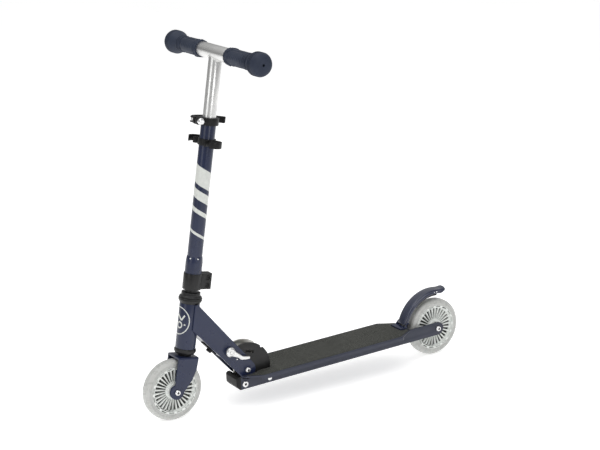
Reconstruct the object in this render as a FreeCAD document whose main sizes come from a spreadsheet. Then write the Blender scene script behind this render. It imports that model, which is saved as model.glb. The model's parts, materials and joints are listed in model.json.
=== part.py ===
"""Folding kick scooter with a telescopic T handlebar, built as a parametric FreeCAD document.

Frame: millimetres, +Z up, the scooter faces -Y, its left side is +X.
The origin lies on the ground, midway between the two wheel axles.
Three tilted working frames place most pieces:
  steer frame  local z runs up the steering axis, local -y points forwards
  deck frame   origin on the deck's top face, tilted nose down by deck_tilt
  neck frame   origin on the folding pivot, local y runs up the neck, local z faces its underside
"""
import FreeCAD, Part
import math
import os
import Sketcher

V = FreeCAD.Vector
X_AXIS = V(1, 0, 0)
Y_AXIS = V(0, 1, 0)

DIMENSIONS = {
    # wheels
    "wheelbase": 614.0, "wheel_radius": 60.0, "wheel_width": 24.0, "hub_radius": 47.0,
    "hub_rim_inner": 41.0, "hub_boss": 15.0, "hub_web": 12.0, "slot_count": 24,
    "slot_inner": 17.5, "slot_outer": 39.5, "slot_width": 2.8, "shoulder_round": 9.0,
    "bearing_outer": 11.0, "bearing_width": 7.0, "axle_radius": 4.0, "running_gap": 0.05,
    # steering column, distances along the steering axis from the ground
    "steer_tilt": 9.317, "steer_foot": -297.5, "crown_low": 121.0, "crown_high": 125.0,
    "lower_cup_low": 129.4, "head_low": 139.6, "head_high": 228.3, "upper_cup_high": 238.8,
    "nut_low": 239.2, "nut_high": 250.0, "clamp_low": 255.4, "clamp_high": 286.0,
    "sleeve_high": 308.7, "clip_low": 531.0, "clip_high": 543.0, "collar_low": 569.0,
    "column_high": 583.0, "bar_height": 703.0,
    "head_radius": 19.45, "head_bore": 16.5, "cup_radius": 21.2, "upper_cup_radius": 22.8,
    "steerer_radius": 12.7,
    "column_radius": 14.3, "column_bore": 12.78, "sleeve_radius": 16.2, "clamp_radius": 17.65,
    "clamp_ear_reach": 37.5, "clamp_ear_half": 9.0, "stem_radius": 12.7, "stem_bore": 10.9,
    "stem_foot": 400.0, "collar_radius": 18.6, "skewer_ahead": 23.5,
    # fork
    "fork_half": 22.0, "fork_plate": 4.0, "fork_front": 23.5, "fork_rear": 19.5,
    "fork_tip_radius": 14.5,
    # handlebar
    "bar_sleeve_half": 52.0, "bar_sleeve_radius": 14.0, "handle_radius": 11.0,
    "handle_inner_end": 8.0, "handle_wall": 1.6, "grip_radius": 15.0, "grip_flange": 16.5,
    "grip_bulb": 22.4, "grip_bulb_start": 143.0, "grip_end": 171.0, "button_radius": 3.0,
    "button_place": 38.0,
    # deck
    "deck_tilt": 1.6, "deck_height": 67.2, "deck_half": 50.0, "deck_skin": 2.5,
    "deck_lip": 8.0, "deck_front": -165.0, "deck_rear": 232.0, "tape_skin": 0.8,
    "channel_half": 22.0, "channel_wall": 3.0, "channel_top": -2.6, "channel_floor": -29.5,
    "channel_front": -168.5, "channel_rear": 320.2, "wheel_well": 236.0, "nose_front": -178.0,
    # folding joint
    "pivot_behind": -153.0, "pivot_height": 72.0, "pivot_radius": 5.0, "quadrant_radius": 53.3,
    "neck_angle": 130.2, "fold_angle": 82.0, "neck_end": 18.0, "neck_head_half": 21.0,
    "neck_half": 22.0, "neck_wall": 3.0, "web_start": 68.0, "pivot_recess": 19.6,
    "latch_place": 60.0, "latch_travel": 5.5, "latch_radius": 4.0,
    "chassis_bolt_radius": 3.0, "front_bolt_y": -159.6, "rear_bolt_y": -103.7, "bolt_height": 43.9,
    # rear brake
    "brake_outer": 82.0, "brake_depth": 8.0, "brake_half": 14.0, "brake_skin": 2.2,
    "brake_pin_reach": 74.5, "brake_start": 165.0, "brake_stop": 82.0,
    "pad_inner": 68.5, "pad_half": 9.0,
}

doc = FreeCAD.newDocument("kick_scooter")
sheet = doc.addObject("Spreadsheet::Sheet", "Dims")
for row, (alias, value) in enumerate(DIMENSIONS.items(), start=1):
    sheet.set("A%d" % row, alias)
    sheet.set("B%d" % row, str(value))
    sheet.setAlias("B%d" % row, alias)
doc.recompute()
nodes = []


def dim(alias):
    return float(sheet.get(alias))


# ---------------------------------------------------------------- working frames

def placed(base=(0, 0, 0), angle=0.0, axis=X_AXIS):
    return FreeCAD.Placement(V(*base), FreeCAD.Rotation(axis, angle))


STEER = placed((0, dim("steer_foot"), 0), -dim("steer_tilt"))
DECK = placed((0, 0, dim("deck_height")), dim("deck_tilt"))
PIVOT = V(0, dim("pivot_behind"), dim("pivot_height"))
NECK = placed(tuple(PIVOT), dim("neck_angle"))
FRONT_AXLE = V(0, -dim("wheelbase") / 2, dim("wheel_radius"))
REAR_AXLE = V(0, dim("wheelbase") / 2, dim("wheel_radius"))
AXLE_IN_STEER = STEER.inverse().multVec(FRONT_AXLE)
AXLE_IN_DECK = DECK.inverse().multVec(REAR_AXLE)
PIVOT_IN_DECK = DECK.inverse().multVec(PIVOT)
CHASSIS_BOLTS = [V(0, dim("front_bolt_y"), dim("bolt_height")), V(0, dim("rear_bolt_y"), dim("bolt_height"))]


def across(point, side=1):
    """Placement whose local z points along +X (side 1) or -X (side -1) from a point."""
    return FreeCAD.Placement(V(*point), FreeCAD.Rotation(Y_AXIS, 90 * side))


# ---------------------------------------------------------------- modelling helpers

def bind(thing, prop, value):
    """Bind a property to an expression, or set it when the value is a plain number."""
    if isinstance(value, str):
        thing.setExpression(prop, value)
    else:
        setattr(thing, prop, value)


def new_body(name, place=None):
    body = doc.addObject("PartDesign::Body", name)
    if place is not None:
        body.Placement = place
    return body


def sketch_on(body, role, shift=None):
    plane = [f for f in body.Origin.OriginFeatures if f.Role == role][0]
    sketch = body.newObject("Sketcher::SketchObject", body.Name + "_sketch")
    sketch.AttachmentSupport = [(plane, "")]
    sketch.MapMode = "FlatFace"
    if isinstance(shift, str):
        sketch.setExpression("AttachmentOffset.Base.z", shift)
    elif shift is not None:
        sketch.AttachmentOffset = placed((0, 0, shift))
    return sketch


def drive_point(sketch, geometry, end, coordinates, guess):
    """Pin one point of the sketch to two coordinates, each a number or an expression."""
    for kind, value, start in zip(("DistanceX", "DistanceY"), coordinates, guess):
        number = start if isinstance(value, str) else value
        index = sketch.addConstraint(Sketcher.Constraint(kind, -1, 1, geometry, end, number))
        if isinstance(value, str):
            sketch.setExpression("Constraints[%d]" % index, value)


def polygon(body, points, role="XY_Plane", shift=None):
    sketch = sketch_on(body, role, shift)
    count = len(points)
    guesses = []
    for index in range(count):
        turn = 2 * math.pi * index / count
        guesses.append((10 * math.cos(turn), 10 * math.sin(turn)))
    for index in range(count):
        start = V(*guesses[index], 0)
        stop = V(*guesses[(index + 1) % count], 0)
        sketch.addGeometry(Part.LineSegment(start, stop), False)
    for index in range(count):
        sketch.addConstraint(Sketcher.Constraint("Coincident", index, 2, (index + 1) % count, 1))
    for index, point in enumerate(points):
        drive_point(sketch, index, 1, point, guesses[index])
    return sketch


def circles(body, radii, centre=(0.0, 0.0), role="XY_Plane", shift=None):
    """Concentric circles in one sketch: two of them make a ring."""
    sketch = sketch_on(body, role, shift)
    for index, radius in enumerate(radii):
        guess = 10.0 + 5 * index
        sketch.addGeometry(Part.Circle(V(1, 1, 0), V(0, 0, 1), guess), False)
        number = guess if isinstance(radius, str) else radius
        constraint = sketch.addConstraint(Sketcher.Constraint("Radius", index, number))
        if isinstance(radius, str):
            sketch.setExpression("Constraints[%d]" % constraint, radius)
        drive_point(sketch, index, 3, centre, (1.0, 1.0))
    return sketch


def pad(body, sketch, length, midplane=True, flip=False):
    feature = body.newObject("PartDesign::Pad", body.Name + "_pad")
    feature.Profile = sketch
    bind(feature, "Length", length)
    feature.Midplane = midplane
    feature.Reversed = flip
    doc.recompute()
    return feature


def pocket(body, sketch, length=1600.0, midplane=True, flip=False):
    before = body.Shape.Volume
    feature = body.newObject("PartDesign::Pocket", body.Name + "_pocket")
    feature.Profile = sketch
    bind(feature, "Length", length)
    feature.Midplane = midplane
    feature.Reversed = flip
    doc.recompute()
    if body.Shape.Volume > before - 0.01:
        raise RuntimeError("a pocket cut nothing in " + body.Name)
    return feature


def revolve(body, sketch):
    feature = body.newObject("PartDesign::Revolution", body.Name + "_turn")
    feature.Profile = sketch
    feature.ReferenceAxis = (sketch, ["V_Axis"])
    feature.Angle = 360
    doc.recompute()
    return feature


def round_edges(body, radius, wanted):
    """Fillet the edges that satisfy wanted(centre, radius): radius is 0 on a straight edge."""
    names = []
    base = body.Tip
    for index, edge in enumerate(base.Shape.Edges, start=1):
        if wanted(edge.CenterOfMass, getattr(edge.Curve, "Radius", 0.0)):
            names.append("Edge%d" % index)
    if not names:
        raise RuntimeError("no edge to round in " + body.Name)
    feature = body.newObject("PartDesign::Fillet", body.Name + "_round")
    feature.Base = (base, names)
    bind(feature, "Radius", radius)
    doc.recompute()
    if "Invalid" in feature.State:
        raise RuntimeError("the rounding failed in " + body.Name)
    return feature


def keep(thing, label):
    """Register a finished sub-part under the name of its node."""
    thing.Label = label
    nodes.append(thing)
    return thing


def turned(name, profile, place=None):
    """A lathe-turned piece: the profile lists (radius, height) pairs."""
    body = new_body(name, place)
    revolve(body, polygon(body, profile, role="XZ_Plane"))
    return body


def ring(name, outer, inner, low, high, place=None):
    return turned(name, [(inner, low), (outer, low), (outer, high), (inner, high)], place)


def cylinder(name, radius, height, place):
    thing = doc.addObject("Part::Cylinder", name)
    bind(thing, "Radius", radius)
    bind(thing, "Height", height)
    thing.Placement = place
    return thing


def box(name, size, corner, place=None):
    thing = doc.addObject("Part::Box", name)
    for prop, value in zip(("Length", "Width", "Height"), size):
        bind(thing, prop, value)
    frame = place if place is not None else placed()
    thing.Placement = frame * placed(corner)
    return thing


def fused(name, things):
    result = doc.addObject("Part::MultiFuse", name)
    result.Shapes = things
    return result


def cut(name, base, tool):
    result = doc.addObject("Part::Cut", name)
    result.Base = base
    result.Tool = tool
    return result


def grouped(name, things):
    result = doc.addObject("Part::Compound", name)
    result.Links = things
    return result


def cap_bolt(name, place, head_radius, head_height, shank_radius, shank_length, socket=0.0):
    """A round-headed bolt: the head stands on the local +z side, the shank runs to -z."""
    body = new_body(name, place)
    profile = [(0, -shank_length), (shank_radius, -shank_length), (shank_radius, 0),
               (head_radius, 0), (head_radius, head_height), (0, head_height)]
    revolve(body, polygon(body, profile, role="XZ_Plane"))
    round_edges(body, 0.45 * head_height, lambda centre, radius: centre.z > head_height - 0.01)
    if socket:
        corners = []
        for side in range(6):
            corners.append((socket * math.cos(side * math.pi / 3),
                            socket * math.sin(side * math.pi / 3)))
        pocket(body, polygon(body, corners, shift=head_height), 0.6 * head_height, False)
    return body


def hex_nut(name, place, flat_radius, height, bore):
    """A hexagonal nut standing on its local +z side."""
    body = new_body(name, place)
    corners = []
    for side in range(6):
        corners.append((flat_radius * math.cos(side * math.pi / 3),
                        flat_radius * math.sin(side * math.pi / 3)))
    pad(body, polygon(body, corners), height, False)
    pocket(body, circles(body, [bore]), 4 * height)
    return body


# ---------------------------------------------------------------- wheels

def wheel(side, axle):
    """Tyre, slotted hub, two sealed bearings and the spacer between them."""
    half = "Dims.wheel_width / 2"
    place = across(tuple(axle))
    band = [("Dims.hub_radius", "-" + half), ("Dims.wheel_radius", "-" + half), ("Dims.wheel_radius", half),
            ("Dims.hub_radius", half)]
    tyre = turned(side + "_tyre_body", band, place)
    tread = dim("wheel_radius") - 1.0
    round_edges(tyre, "Dims.shoulder_round", lambda centre, radius: radius > tread)
    keep(tyre, side + "_tyre")

    web = "Dims.hub_web / 2"
    profile = [("Dims.bearing_outer", "-" + half), ("Dims.hub_boss", "-" + half),
               ("Dims.hub_boss + 1.5", "-" + web), ("Dims.hub_rim_inner", "-" + web),
               ("Dims.hub_rim_inner + 1.5", "-Dims.wheel_width / 2 + 0.6"),
               ("Dims.hub_radius", "-Dims.wheel_width / 2 + 0.6"),
               ("Dims.hub_radius", "Dims.wheel_width / 2 - 0.6"),
               ("Dims.hub_rim_inner + 1.5", "Dims.wheel_width / 2 - 0.6"),
               ("Dims.hub_rim_inner", web), ("Dims.hub_boss + 1.5", web),
               ("Dims.hub_boss", half), ("Dims.bearing_outer", half)]
    hub = turned(side + "_hub_body", profile, place)
    slot = polygon(hub, [("Dims.slot_inner", "-Dims.slot_width / 2"),
                         ("Dims.slot_outer", "-Dims.slot_width / 2"),
                         ("Dims.slot_outer", "Dims.slot_width / 2"),
                         ("Dims.slot_inner", "Dims.slot_width / 2")])
    first = pocket(hub, slot)
    whole = hub.Shape.Volume
    pattern = hub.newObject("PartDesign::PolarPattern", side + "_hub_slots")
    pattern.Originals = [first]
    pattern.Axis = (slot, ["N_Axis"])
    pattern.Angle = 360
    pattern.setExpression("Occurrences", "Dims.slot_count")
    hub.Tip = pattern
    doc.recompute()
    if hub.Shape.Volume > whole - 100:
        raise RuntimeError("the slot pattern cut nothing")
    keep(hub, side + "_hub")

    inner = "Dims.axle_radius + Dims.running_gap"
    bearings = []
    for name, low, high in (("left", "Dims.wheel_width / 2 - Dims.bearing_width", half),
                            ("right", "-" + half, "Dims.bearing_width - Dims.wheel_width / 2")):
        bearings.append(ring("%s_bearing_%s" % (side, name), "Dims.bearing_outer", inner, low, high,
                             place))
    keep(grouped(side + "_bearing_pair", bearings), side + "_bearings")
    spacer = ring(side + "_spacer_body", "Dims.axle_radius + 2.2", inner,
                  "Dims.bearing_width - Dims.wheel_width / 2", "Dims.wheel_width / 2 - Dims.bearing_width",
                  place)
    keep(spacer, side + "_hub_spacer")


def axle_set(side, axle, frame_inner, frame_outer):
    """Through bolt, nut and the two spacers between the bearings and the frame."""
    reach = frame_outer + 0.1
    bolt = cap_bolt(side + "_axle_bolt_body", across((reach, axle.y, axle.z)), 7.2, 4.2,
                    "Dims.axle_radius", reach * 2 + 7.0, 3.2)
    keep(bolt, side + "_axle_bolt")
    nut = hex_nut(side + "_axle_nut_body", across((-reach, axle.y, axle.z), -1), 7.6, 6.0,
                  dim("axle_radius"))
    keep(nut, side + "_axle_nut")
    spacers = []
    for sign, name in ((1, "left"), (-1, "right")):
        start = dim("wheel_width") / 2 + 0.3
        tube = ring("%s_axle_spacer_%s" % (side, name), "Dims.axle_radius + 2.6", "Dims.axle_radius",
                    start, frame_inner, across(tuple(axle), sign))
        spacers.append(tube)
    keep(grouped(side + "_axle_spacer_pair", spacers), side + "_axle_spacers")


wheel("front", FRONT_AXLE)
wheel("rear", REAR_AXLE)
axle_set("front", FRONT_AXLE, dim("fork_half") - dim("fork_plate"), dim("fork_half"))
axle_set("rear", REAR_AXLE, dim("channel_half") - dim("channel_wall"), dim("channel_half"))


# ---------------------------------------------------------------- fork and headset

def build_fork():
    body = new_body("fork_body", STEER)
    axle_y, axle_s = AXLE_IN_STEER.y, AXLE_IN_STEER.z
    tip_rear = axle_y + dim("fork_tip_radius")
    outline = [("-Dims.fork_front", "Dims.crown_high"), ("Dims.fork_rear", "Dims.crown_high"),
               ("Dims.fork_rear - 2", "Dims.crown_high - 24"),
               ("Dims.fork_rear - 9", "Dims.crown_high - 44"), (tip_rear, axle_s),
               (axle_y, axle_s), ("-Dims.fork_front - 0.8", axle_s + 13.6)]
    pad(body, polygon(body, outline, role="YZ_Plane"), "Dims.fork_half * 2")
    pad(body, circles(body, ["Dims.fork_tip_radius"], (axle_y, axle_s), "YZ_Plane"), "Dims.fork_half * 2")
    gap = "Dims.fork_half - Dims.fork_plate"
    opening = [("-(%s)" % gap, 0.0), (gap, 0.0), (gap, "Dims.crown_low"), ("-(%s)" % gap, "Dims.crown_low")]
    pocket(body, polygon(body, opening, role="XZ_Plane"))
    pocket(body, circles(body, ["Dims.axle_radius"], (axle_y, axle_s), "YZ_Plane"))
    top = dim("crown_high") - 0.01
    half = dim("fork_half") - 0.01
    round_edges(body, 3.0, lambda centre, radius: centre.z > top and abs(centre.x) > half)
    keep(body, "fork")


build_fork()
keep(ring("steerer_body", "Dims.steerer_radius", 10.0, "Dims.crown_high", "Dims.clamp_high - 3", STEER),
     "steerer_tube")
keep(ring("head_tube_body", "Dims.head_radius", "Dims.head_bore", "Dims.head_low", "Dims.head_high", STEER),
     "head_tube")
lower_cup_profile = [("Dims.head_bore", "Dims.lower_cup_low"), ("Dims.head_radius - 1", "Dims.lower_cup_low"),
                     ("Dims.cup_radius", "Dims.lower_cup_low + 4.5"),
                     ("Dims.cup_radius", "Dims.head_low - 1.5"),
                     ("Dims.head_radius", "Dims.head_low"),
                     ("Dims.head_bore", "Dims.head_low")]
keep(turned("lower_cup_body", lower_cup_profile, STEER), "lower_headset_cup")
upper_cup_profile = [("Dims.head_bore", "Dims.head_high"), ("Dims.head_radius", "Dims.head_high"),
                     ("Dims.head_radius + 1", "Dims.head_high + 2"),
                     ("Dims.upper_cup_radius", "Dims.head_high + 7"),
                     ("Dims.upper_cup_radius", "Dims.upper_cup_high"),
                     ("Dims.head_bore", "Dims.upper_cup_high")]
keep(turned("upper_cup_body", upper_cup_profile, STEER), "upper_headset_cup")
headset_rings = []
for where, low, high in (("low", "Dims.lower_cup_low + 0.6", "Dims.head_low - 0.6"),
                         ("high", "Dims.head_high + 0.6", "Dims.upper_cup_high - 0.6")):
    headset_rings.append(ring("headset_bearing_" + where, "Dims.head_bore",
                              "Dims.steerer_radius + Dims.running_gap", low, high, STEER))
keep(grouped("headset_bearing_pair", headset_rings), "headset_bearings")
nut_profile = [("Dims.steerer_radius", "Dims.nut_low"), ("Dims.cup_radius + 0.4", "Dims.nut_low"),
               ("Dims.cup_radius", "Dims.nut_low + 3"), ("Dims.head_radius - 1.2", "Dims.nut_low + 4.4"),
               ("Dims.head_radius - 1.2", "Dims.nut_high - 1"), ("Dims.head_radius - 2", "Dims.nut_high"),
               ("Dims.steerer_radius", "Dims.nut_high")]
keep(turned("headset_nut_body", nut_profile, STEER), "headset_nut")

# ---------------------------------------------------------------- column and its clamps

column = ring("column_tube_body", "Dims.column_radius", "Dims.column_bore", "Dims.clamp_low",
              "Dims.column_high", STEER)
column_slit = [(-1.0, "Dims.column_high - 38"), (1.0, "Dims.column_high - 38"),
               (1.0, "Dims.column_high + 1"), (-1.0, "Dims.column_high + 1")]
pocket(column, polygon(column, column_slit, role="XZ_Plane"), 40.0, False)
keep(column, "column_tube")
keep(ring("column_sleeve_body", "Dims.sleeve_radius", "Dims.column_radius", "Dims.clamp_low",
          "Dims.sleeve_high", STEER), "column_sleeve")


def build_double_clamp():
    """Collar with two rear ears, a slit between them and two cross bolts."""
    body = new_body("double_clamp_body", STEER)
    height = dim("clamp_high") - dim("clamp_low")
    low = "Dims.clamp_low"
    pad(body, circles(body, ["Dims.clamp_radius"], shift=low), height, False)
    ears = [("-Dims.clamp_ear_half", 8.0), ("Dims.clamp_ear_half", 8.0),
            ("Dims.clamp_ear_half", "Dims.clamp_ear_reach"), ("-Dims.clamp_ear_half", "Dims.clamp_ear_reach")]
    pad(body, polygon(body, ears, shift=low), height, False)
    pocket(body, circles(body, ["Dims.sleeve_radius"]))
    slit = [(-1.2, 10.0), (1.2, 10.0), (1.2, "Dims.clamp_ear_reach + 1"), (-1.2, "Dims.clamp_ear_reach + 1")]
    pocket(body, polygon(body, slit))
    reach = dim("clamp_ear_reach") - 0.01
    side = dim("clamp_ear_half") - 0.01
    round_edges(body, 2.0, lambda centre, radius: centre.y > reach and abs(centre.x) > side)
    bolts = []
    for index in range(2):
        bolt_s = dim("clamp_low") + height * (0.26 + 0.48 * index)
        place = (dim("clamp_ear_reach") - 9.5, bolt_s)
        pocket(body, circles(body, [2.5], place, "YZ_Plane"))
        pocket(body, circles(body, [4.6], place, "YZ_Plane", "Dims.clamp_ear_half"), 4.0, False)
        spot = STEER.multVec(V(dim("clamp_ear_half") - 4.0, place[0], place[1]))
        bolts.append(cap_bolt("double_clamp_bolt_%d" % index, across(tuple(spot)), 4.3, 3.4, 2.5, 13.5, 2.1))
    keep(body, "double_clamp")
    keep(grouped("double_clamp_bolt_pair", bolts), "double_clamp_bolts")


def build_top_collar():
    """Collar at the column's mouth with two forward ears and a skewer through them."""
    body = new_body("top_collar_body", STEER)
    height = dim("column_high") - dim("collar_low")
    low = "Dims.collar_low"
    pad(body, circles(body, ["Dims.collar_radius"], shift=low), height, False)
    ears = [(-9.0, "-Dims.skewer_ahead - 6.5"), (9.0, "-Dims.skewer_ahead - 6.5"), (9.0, -8.0), (-9.0, -8.0)]
    pad(body, polygon(body, ears, shift=low), height, False)
    pocket(body, circles(body, ["Dims.column_radius"]))
    pocket(body, polygon(body, [(-1.5, -60.0), (1.5, -60.0), (1.5, -10.0), (-1.5, -10.0)]))
    middle = dim("collar_low") + height / 2
    pocket(body, circles(body, [2.6], ("-Dims.skewer_ahead", middle), "YZ_Plane"))
    front = -dim("skewer_ahead") - 6.4
    rim = height / 2 - 0.01
    round_edges(body, 4.0, lambda centre, radius: centre.y < front and abs(centre.z - middle) > rim)
    keep(body, "top_collar")

    left = STEER.multVec(V(9.2, -dim("skewer_ahead"), middle))
    nut = cap_bolt("top_skewer_nut_body", across(tuple(left)), 6.6, 7.0, 5.0, 0.15)
    nut_bored = cut("top_skewer_nut_bored", nut,
                    cylinder("top_skewer_nut_hole", 2.6, 5.0, across((left.x - 0.2, left.y, left.z))))
    keep(nut_bored, "top_skewer_nut")

    hinge = STEER * placed((-17.0, -dim("skewer_ahead"), middle))
    lever = new_body("top_lever_body", hinge)
    centre = (45.0, "Dims.skewer_ahead + 5")
    pad(lever, circles(lever, [61.5, 56.5], centre), 11.0)
    pocket(lever, polygon(lever, [(0.5, -80.0), (130.0, -80.0), (130.0, 130.0), (0.5, 130.0)]))
    pocket(lever, polygon(lever, [(-30.0, -80.0), (10.0, -80.0), (10.0, 0.0), (-30.0, 0.0)]))
    pocket(lever, polygon(lever, [(-30.0, "Dims.skewer_ahead + 36"), (10.0, "Dims.skewer_ahead + 36"),
                                  (10.0, 130.0), (-30.0, 130.0)]))
    pad(lever, circles(lever, [6.0]), 11.0)
    pocket(lever, box_slot(lever, (-12.0, 12.0), (-7.0, 9.0)), 3.2 * 2)
    pocket(lever, circles(lever, [2.05]))
    keep(lever, "top_lever")
    barrel = cylinder("top_lever_barrel", 2.0, 10.6, hinge * placed((0, 0, -5.3)))
    eye = cylinder("top_skewer_eye", 4.6, 5.8, hinge * placed((0, 0, -2.9)))
    keep(fused("top_lever_pin_body", [barrel, eye]), "top_lever_pin")
    skewer = cylinder("top_skewer_body", 2.6, 31.0,
                      across(tuple(STEER.multVec(V(-17.0, -dim("skewer_ahead"), middle)))))
    clear_of_eye = cylinder("top_skewer_end", 4.6, 12.0, hinge * placed((0, 0, -6.0)))
    keep(cut("top_skewer_trimmed", skewer, clear_of_eye), "top_skewer")


def box_slot(body, x_range, y_range):
    """Rectangle sketch that clears the middle of a forked lever."""
    return polygon(body, [(x_range[0], y_range[0]), (x_range[1], y_range[0]),
                          (x_range[1], y_range[1]), (x_range[0], y_range[1])])


def build_clip_ring():
    """Ring round the column with one open C clip at each side for a removed grip."""
    body = new_body("clip_ring_body", STEER)
    height = dim("clip_high") - dim("clip_low")
    low = "Dims.clip_low"
    pad(body, circles(body, ["Dims.column_radius + 2.6"], shift=low), height, False)
    for side in (-1, 1):
        pad(body, circles(body, [16.0], (31.5 * side, -4.0), shift=low), height, False)
    for side in (-1, 1):
        centre = (31.5 * side, -4.0)
        pocket(body, circles(body, [13.6], centre))
        mouth = [(centre[0] - 9.0, -40.0), (centre[0] + 9.0, -40.0), (centre[0] + 9.0, -8.0),
                 (centre[0] - 9.0, -8.0)]
        pocket(body, polygon(body, mouth))
    pocket(body, circles(body, ["Dims.column_radius"]))
    keep(body, "clip_ring")


build_double_clamp()
build_top_collar()
build_clip_ring()

# ---------------------------------------------------------------- stem and handlebar

BAR = STEER * placed((0, 0, dim("bar_height")))
BAR_LEFT = BAR * FreeCAD.Placement(V(0, 0, 0), FreeCAD.Rotation(Y_AXIS, 90))
BAR_RIGHT = BAR * FreeCAD.Placement(V(0, 0, 0), FreeCAD.Rotation(Y_AXIS, -90))
stem = ring("stem_body", "Dims.stem_radius", "Dims.stem_bore", "Dims.stem_foot", "Dims.bar_height - 2", STEER)
stem_cope = cylinder("stem_cope", "Dims.bar_sleeve_radius", 80.0, BAR_LEFT * placed((0, 0, -40.0)))
keep(cut("stem_tube_coped", stem, stem_cope), "stem_tube")
sleeve = ring("bar_sleeve_body", "Dims.bar_sleeve_radius", "Dims.handle_radius + 0.08",
              "-Dims.bar_sleeve_half", "Dims.bar_sleeve_half", BAR_LEFT)
holes = []
for sign in (-1, 1):
    foot = BAR * placed((sign * dim("button_place"), 0, -20.0))
    holes.append(cylinder("button_hole_%d" % (sign + 1), "Dims.button_radius + 0.3", 12.0, foot))
keep(cut("bar_sleeve_drilled", sleeve, fused("button_holes", holes)), "bar_sleeve")


def build_handle(side, sign, place):
    """One removable handle: inner tube, moulded grip and sprung snap button."""
    tube = ring(side + "_handle_body", "Dims.handle_radius", "Dims.handle_radius - Dims.handle_wall",
                "Dims.handle_inner_end", "Dims.grip_end - 16", place)
    foot = BAR * placed((sign * dim("button_place"), 0, -20.0))
    hole = cylinder(side + "_handle_hole", "Dims.button_radius + 0.3", 14.0, foot)
    keep(cut(side + "_handle_drilled", tube, hole), side + "_handle_tube")

    grip = turned(side + "_grip_body",
                  [("Dims.handle_radius", "Dims.bar_sleeve_half + 0.4"),
                   ("Dims.grip_flange", "Dims.bar_sleeve_half + 0.4"),
                   ("Dims.grip_flange", "Dims.bar_sleeve_half + 4.5"),
                   ("Dims.grip_radius", "Dims.bar_sleeve_half + 5.5"),
                   ("Dims.grip_radius", "Dims.grip_bulb_start - 6"),
                   ("Dims.grip_bulb", "Dims.grip_bulb_start"),
                   ("Dims.grip_bulb", "Dims.grip_end"), (3.0, "Dims.grip_end"),
                   (3.0, "Dims.grip_end - 8"), ("Dims.handle_radius", "Dims.grip_end - 16")], place)
    end = dim("grip_end") - 0.01
    round_edges(grip, 12.0, lambda centre, radius: centre.z > end and radius > 20)
    keep(grip, side + "_grip")

    button = cylinder(side + "_button_pin", "Dims.button_radius", 6.7,
                      BAR * placed((sign * dim("button_place"), 0, -14.4)))
    foot_disc = cylinder(side + "_button_foot", "Dims.button_radius + 1.8", 1.2,
                         BAR * placed((sign * dim("button_place"), 0, -7.7)))
    leaf = box(side + "_button_leaf", (15.0, 3.2, 0.5),
               (sign * dim("button_place") - (15.0 if sign > 0 else 0.0), -1.6, -7.0), BAR)
    keep(fused(side + "_button_body", [button, foot_disc, leaf]), side + "_snap_button")


build_handle("left", 1, BAR_LEFT)
build_handle("right", -1, BAR_RIGHT)

# ---------------------------------------------------------------- deck

def front_and_rear_trim(body, inset):
    """Trim the deck's outline: chamfered front, tapered rear and the slot round the fold."""
    half = dim("deck_half") - inset
    front = dim("deck_front")
    rear = dim("deck_rear") - inset
    for side in (-1, 1):
        pocket(body, polygon(body, [(side * (24.0 - inset), front - 5), (side * (half + 20), front - 5),
                                    (side * (half + 20), front + 35), (side * (half + 0.01), front + 35),
                                    (side * (32.0 - inset), front + inset)]), 60.0)
        pocket(body, polygon(body, [(side * 60.0, rear - 34), (side * (half + 0.01), rear - 34),
                                    (side * 27.0, rear + 0.01), (side * 27.0, rear + 5),
                                    (side * 60.0, rear + 5)]), 60.0)
    wide = 23.6 + inset * 0.4
    pocket(body, polygon(body, [(-wide, front - 5), (wide, front - 5), (wide, -131.0), (19.4, -131.0),
                                (19.4, -98.5), (-19.4, -98.5), (-19.4, -131.0), (-wide, -131.0)]), 60.0)


def build_deck_plate():
    body = new_body("deck_plate_body", DECK)
    skin = "Dims.deck_skin"
    section = [("-Dims.deck_half", 0.0), ("Dims.deck_half", 0.0), ("Dims.deck_half", "-Dims.deck_lip"),
               ("Dims.deck_half - %s" % skin, "-Dims.deck_lip"), ("Dims.deck_half - %s" % skin, "-" + skin),
               ("%s - Dims.deck_half" % skin, "-" + skin), ("%s - Dims.deck_half" % skin, "-Dims.deck_lip"),
               ("-Dims.deck_half", "-Dims.deck_lip")]
    middle = "-(Dims.deck_front + Dims.deck_rear) / 2"
    pad(body, polygon(body, section, "XZ_Plane", middle), "Dims.deck_rear - Dims.deck_front")
    half = dim("deck_half") - 0.01
    round_edges(body, 2.0, lambda centre, radius: abs(centre.z) < 0.01 and abs(centre.x) > half)
    front_and_rear_trim(body, 0.0)
    keep(body, "deck_plate")


def brake_pin_offset():
    """The brake's hinge pin, measured from the rear axle, in the YZ plane."""
    start = math.radians(dim("brake_start"))
    return dim("brake_pin_reach") * math.cos(start), dim("brake_pin_reach") * math.sin(start)


def brake_pin_in_deck():
    return DECK.inverse().multVec(REAR_AXLE + V(0, *brake_pin_offset()))


def build_grip_tape():
    body = new_body("grip_tape_body", DECK)
    inset = 3.5
    half = dim("deck_half") - inset
    front = dim("deck_front") + inset
    rear = dim("deck_rear") - inset
    outline = [(-half, front), (half, front), (half, rear), (-half, rear)]
    pad(body, polygon(body, outline), "Dims.tape_skin", False)
    front_and_rear_trim(body, inset)
    notch_front = brake_pin_in_deck().y - 21.0
    notch = [(-18.5, notch_front), (18.5, notch_front), (18.5, rear + 5), (-18.5, rear + 5)]
    pocket(body, polygon(body, notch), 60.0)
    bolt_relief = [(-29.6, front - 5), (29.6, front - 5), (29.6, -143.8), (-29.6, -143.8)]
    pocket(body, polygon(body, bolt_relief), 60.0)
    keep(body, "grip_tape")


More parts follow.
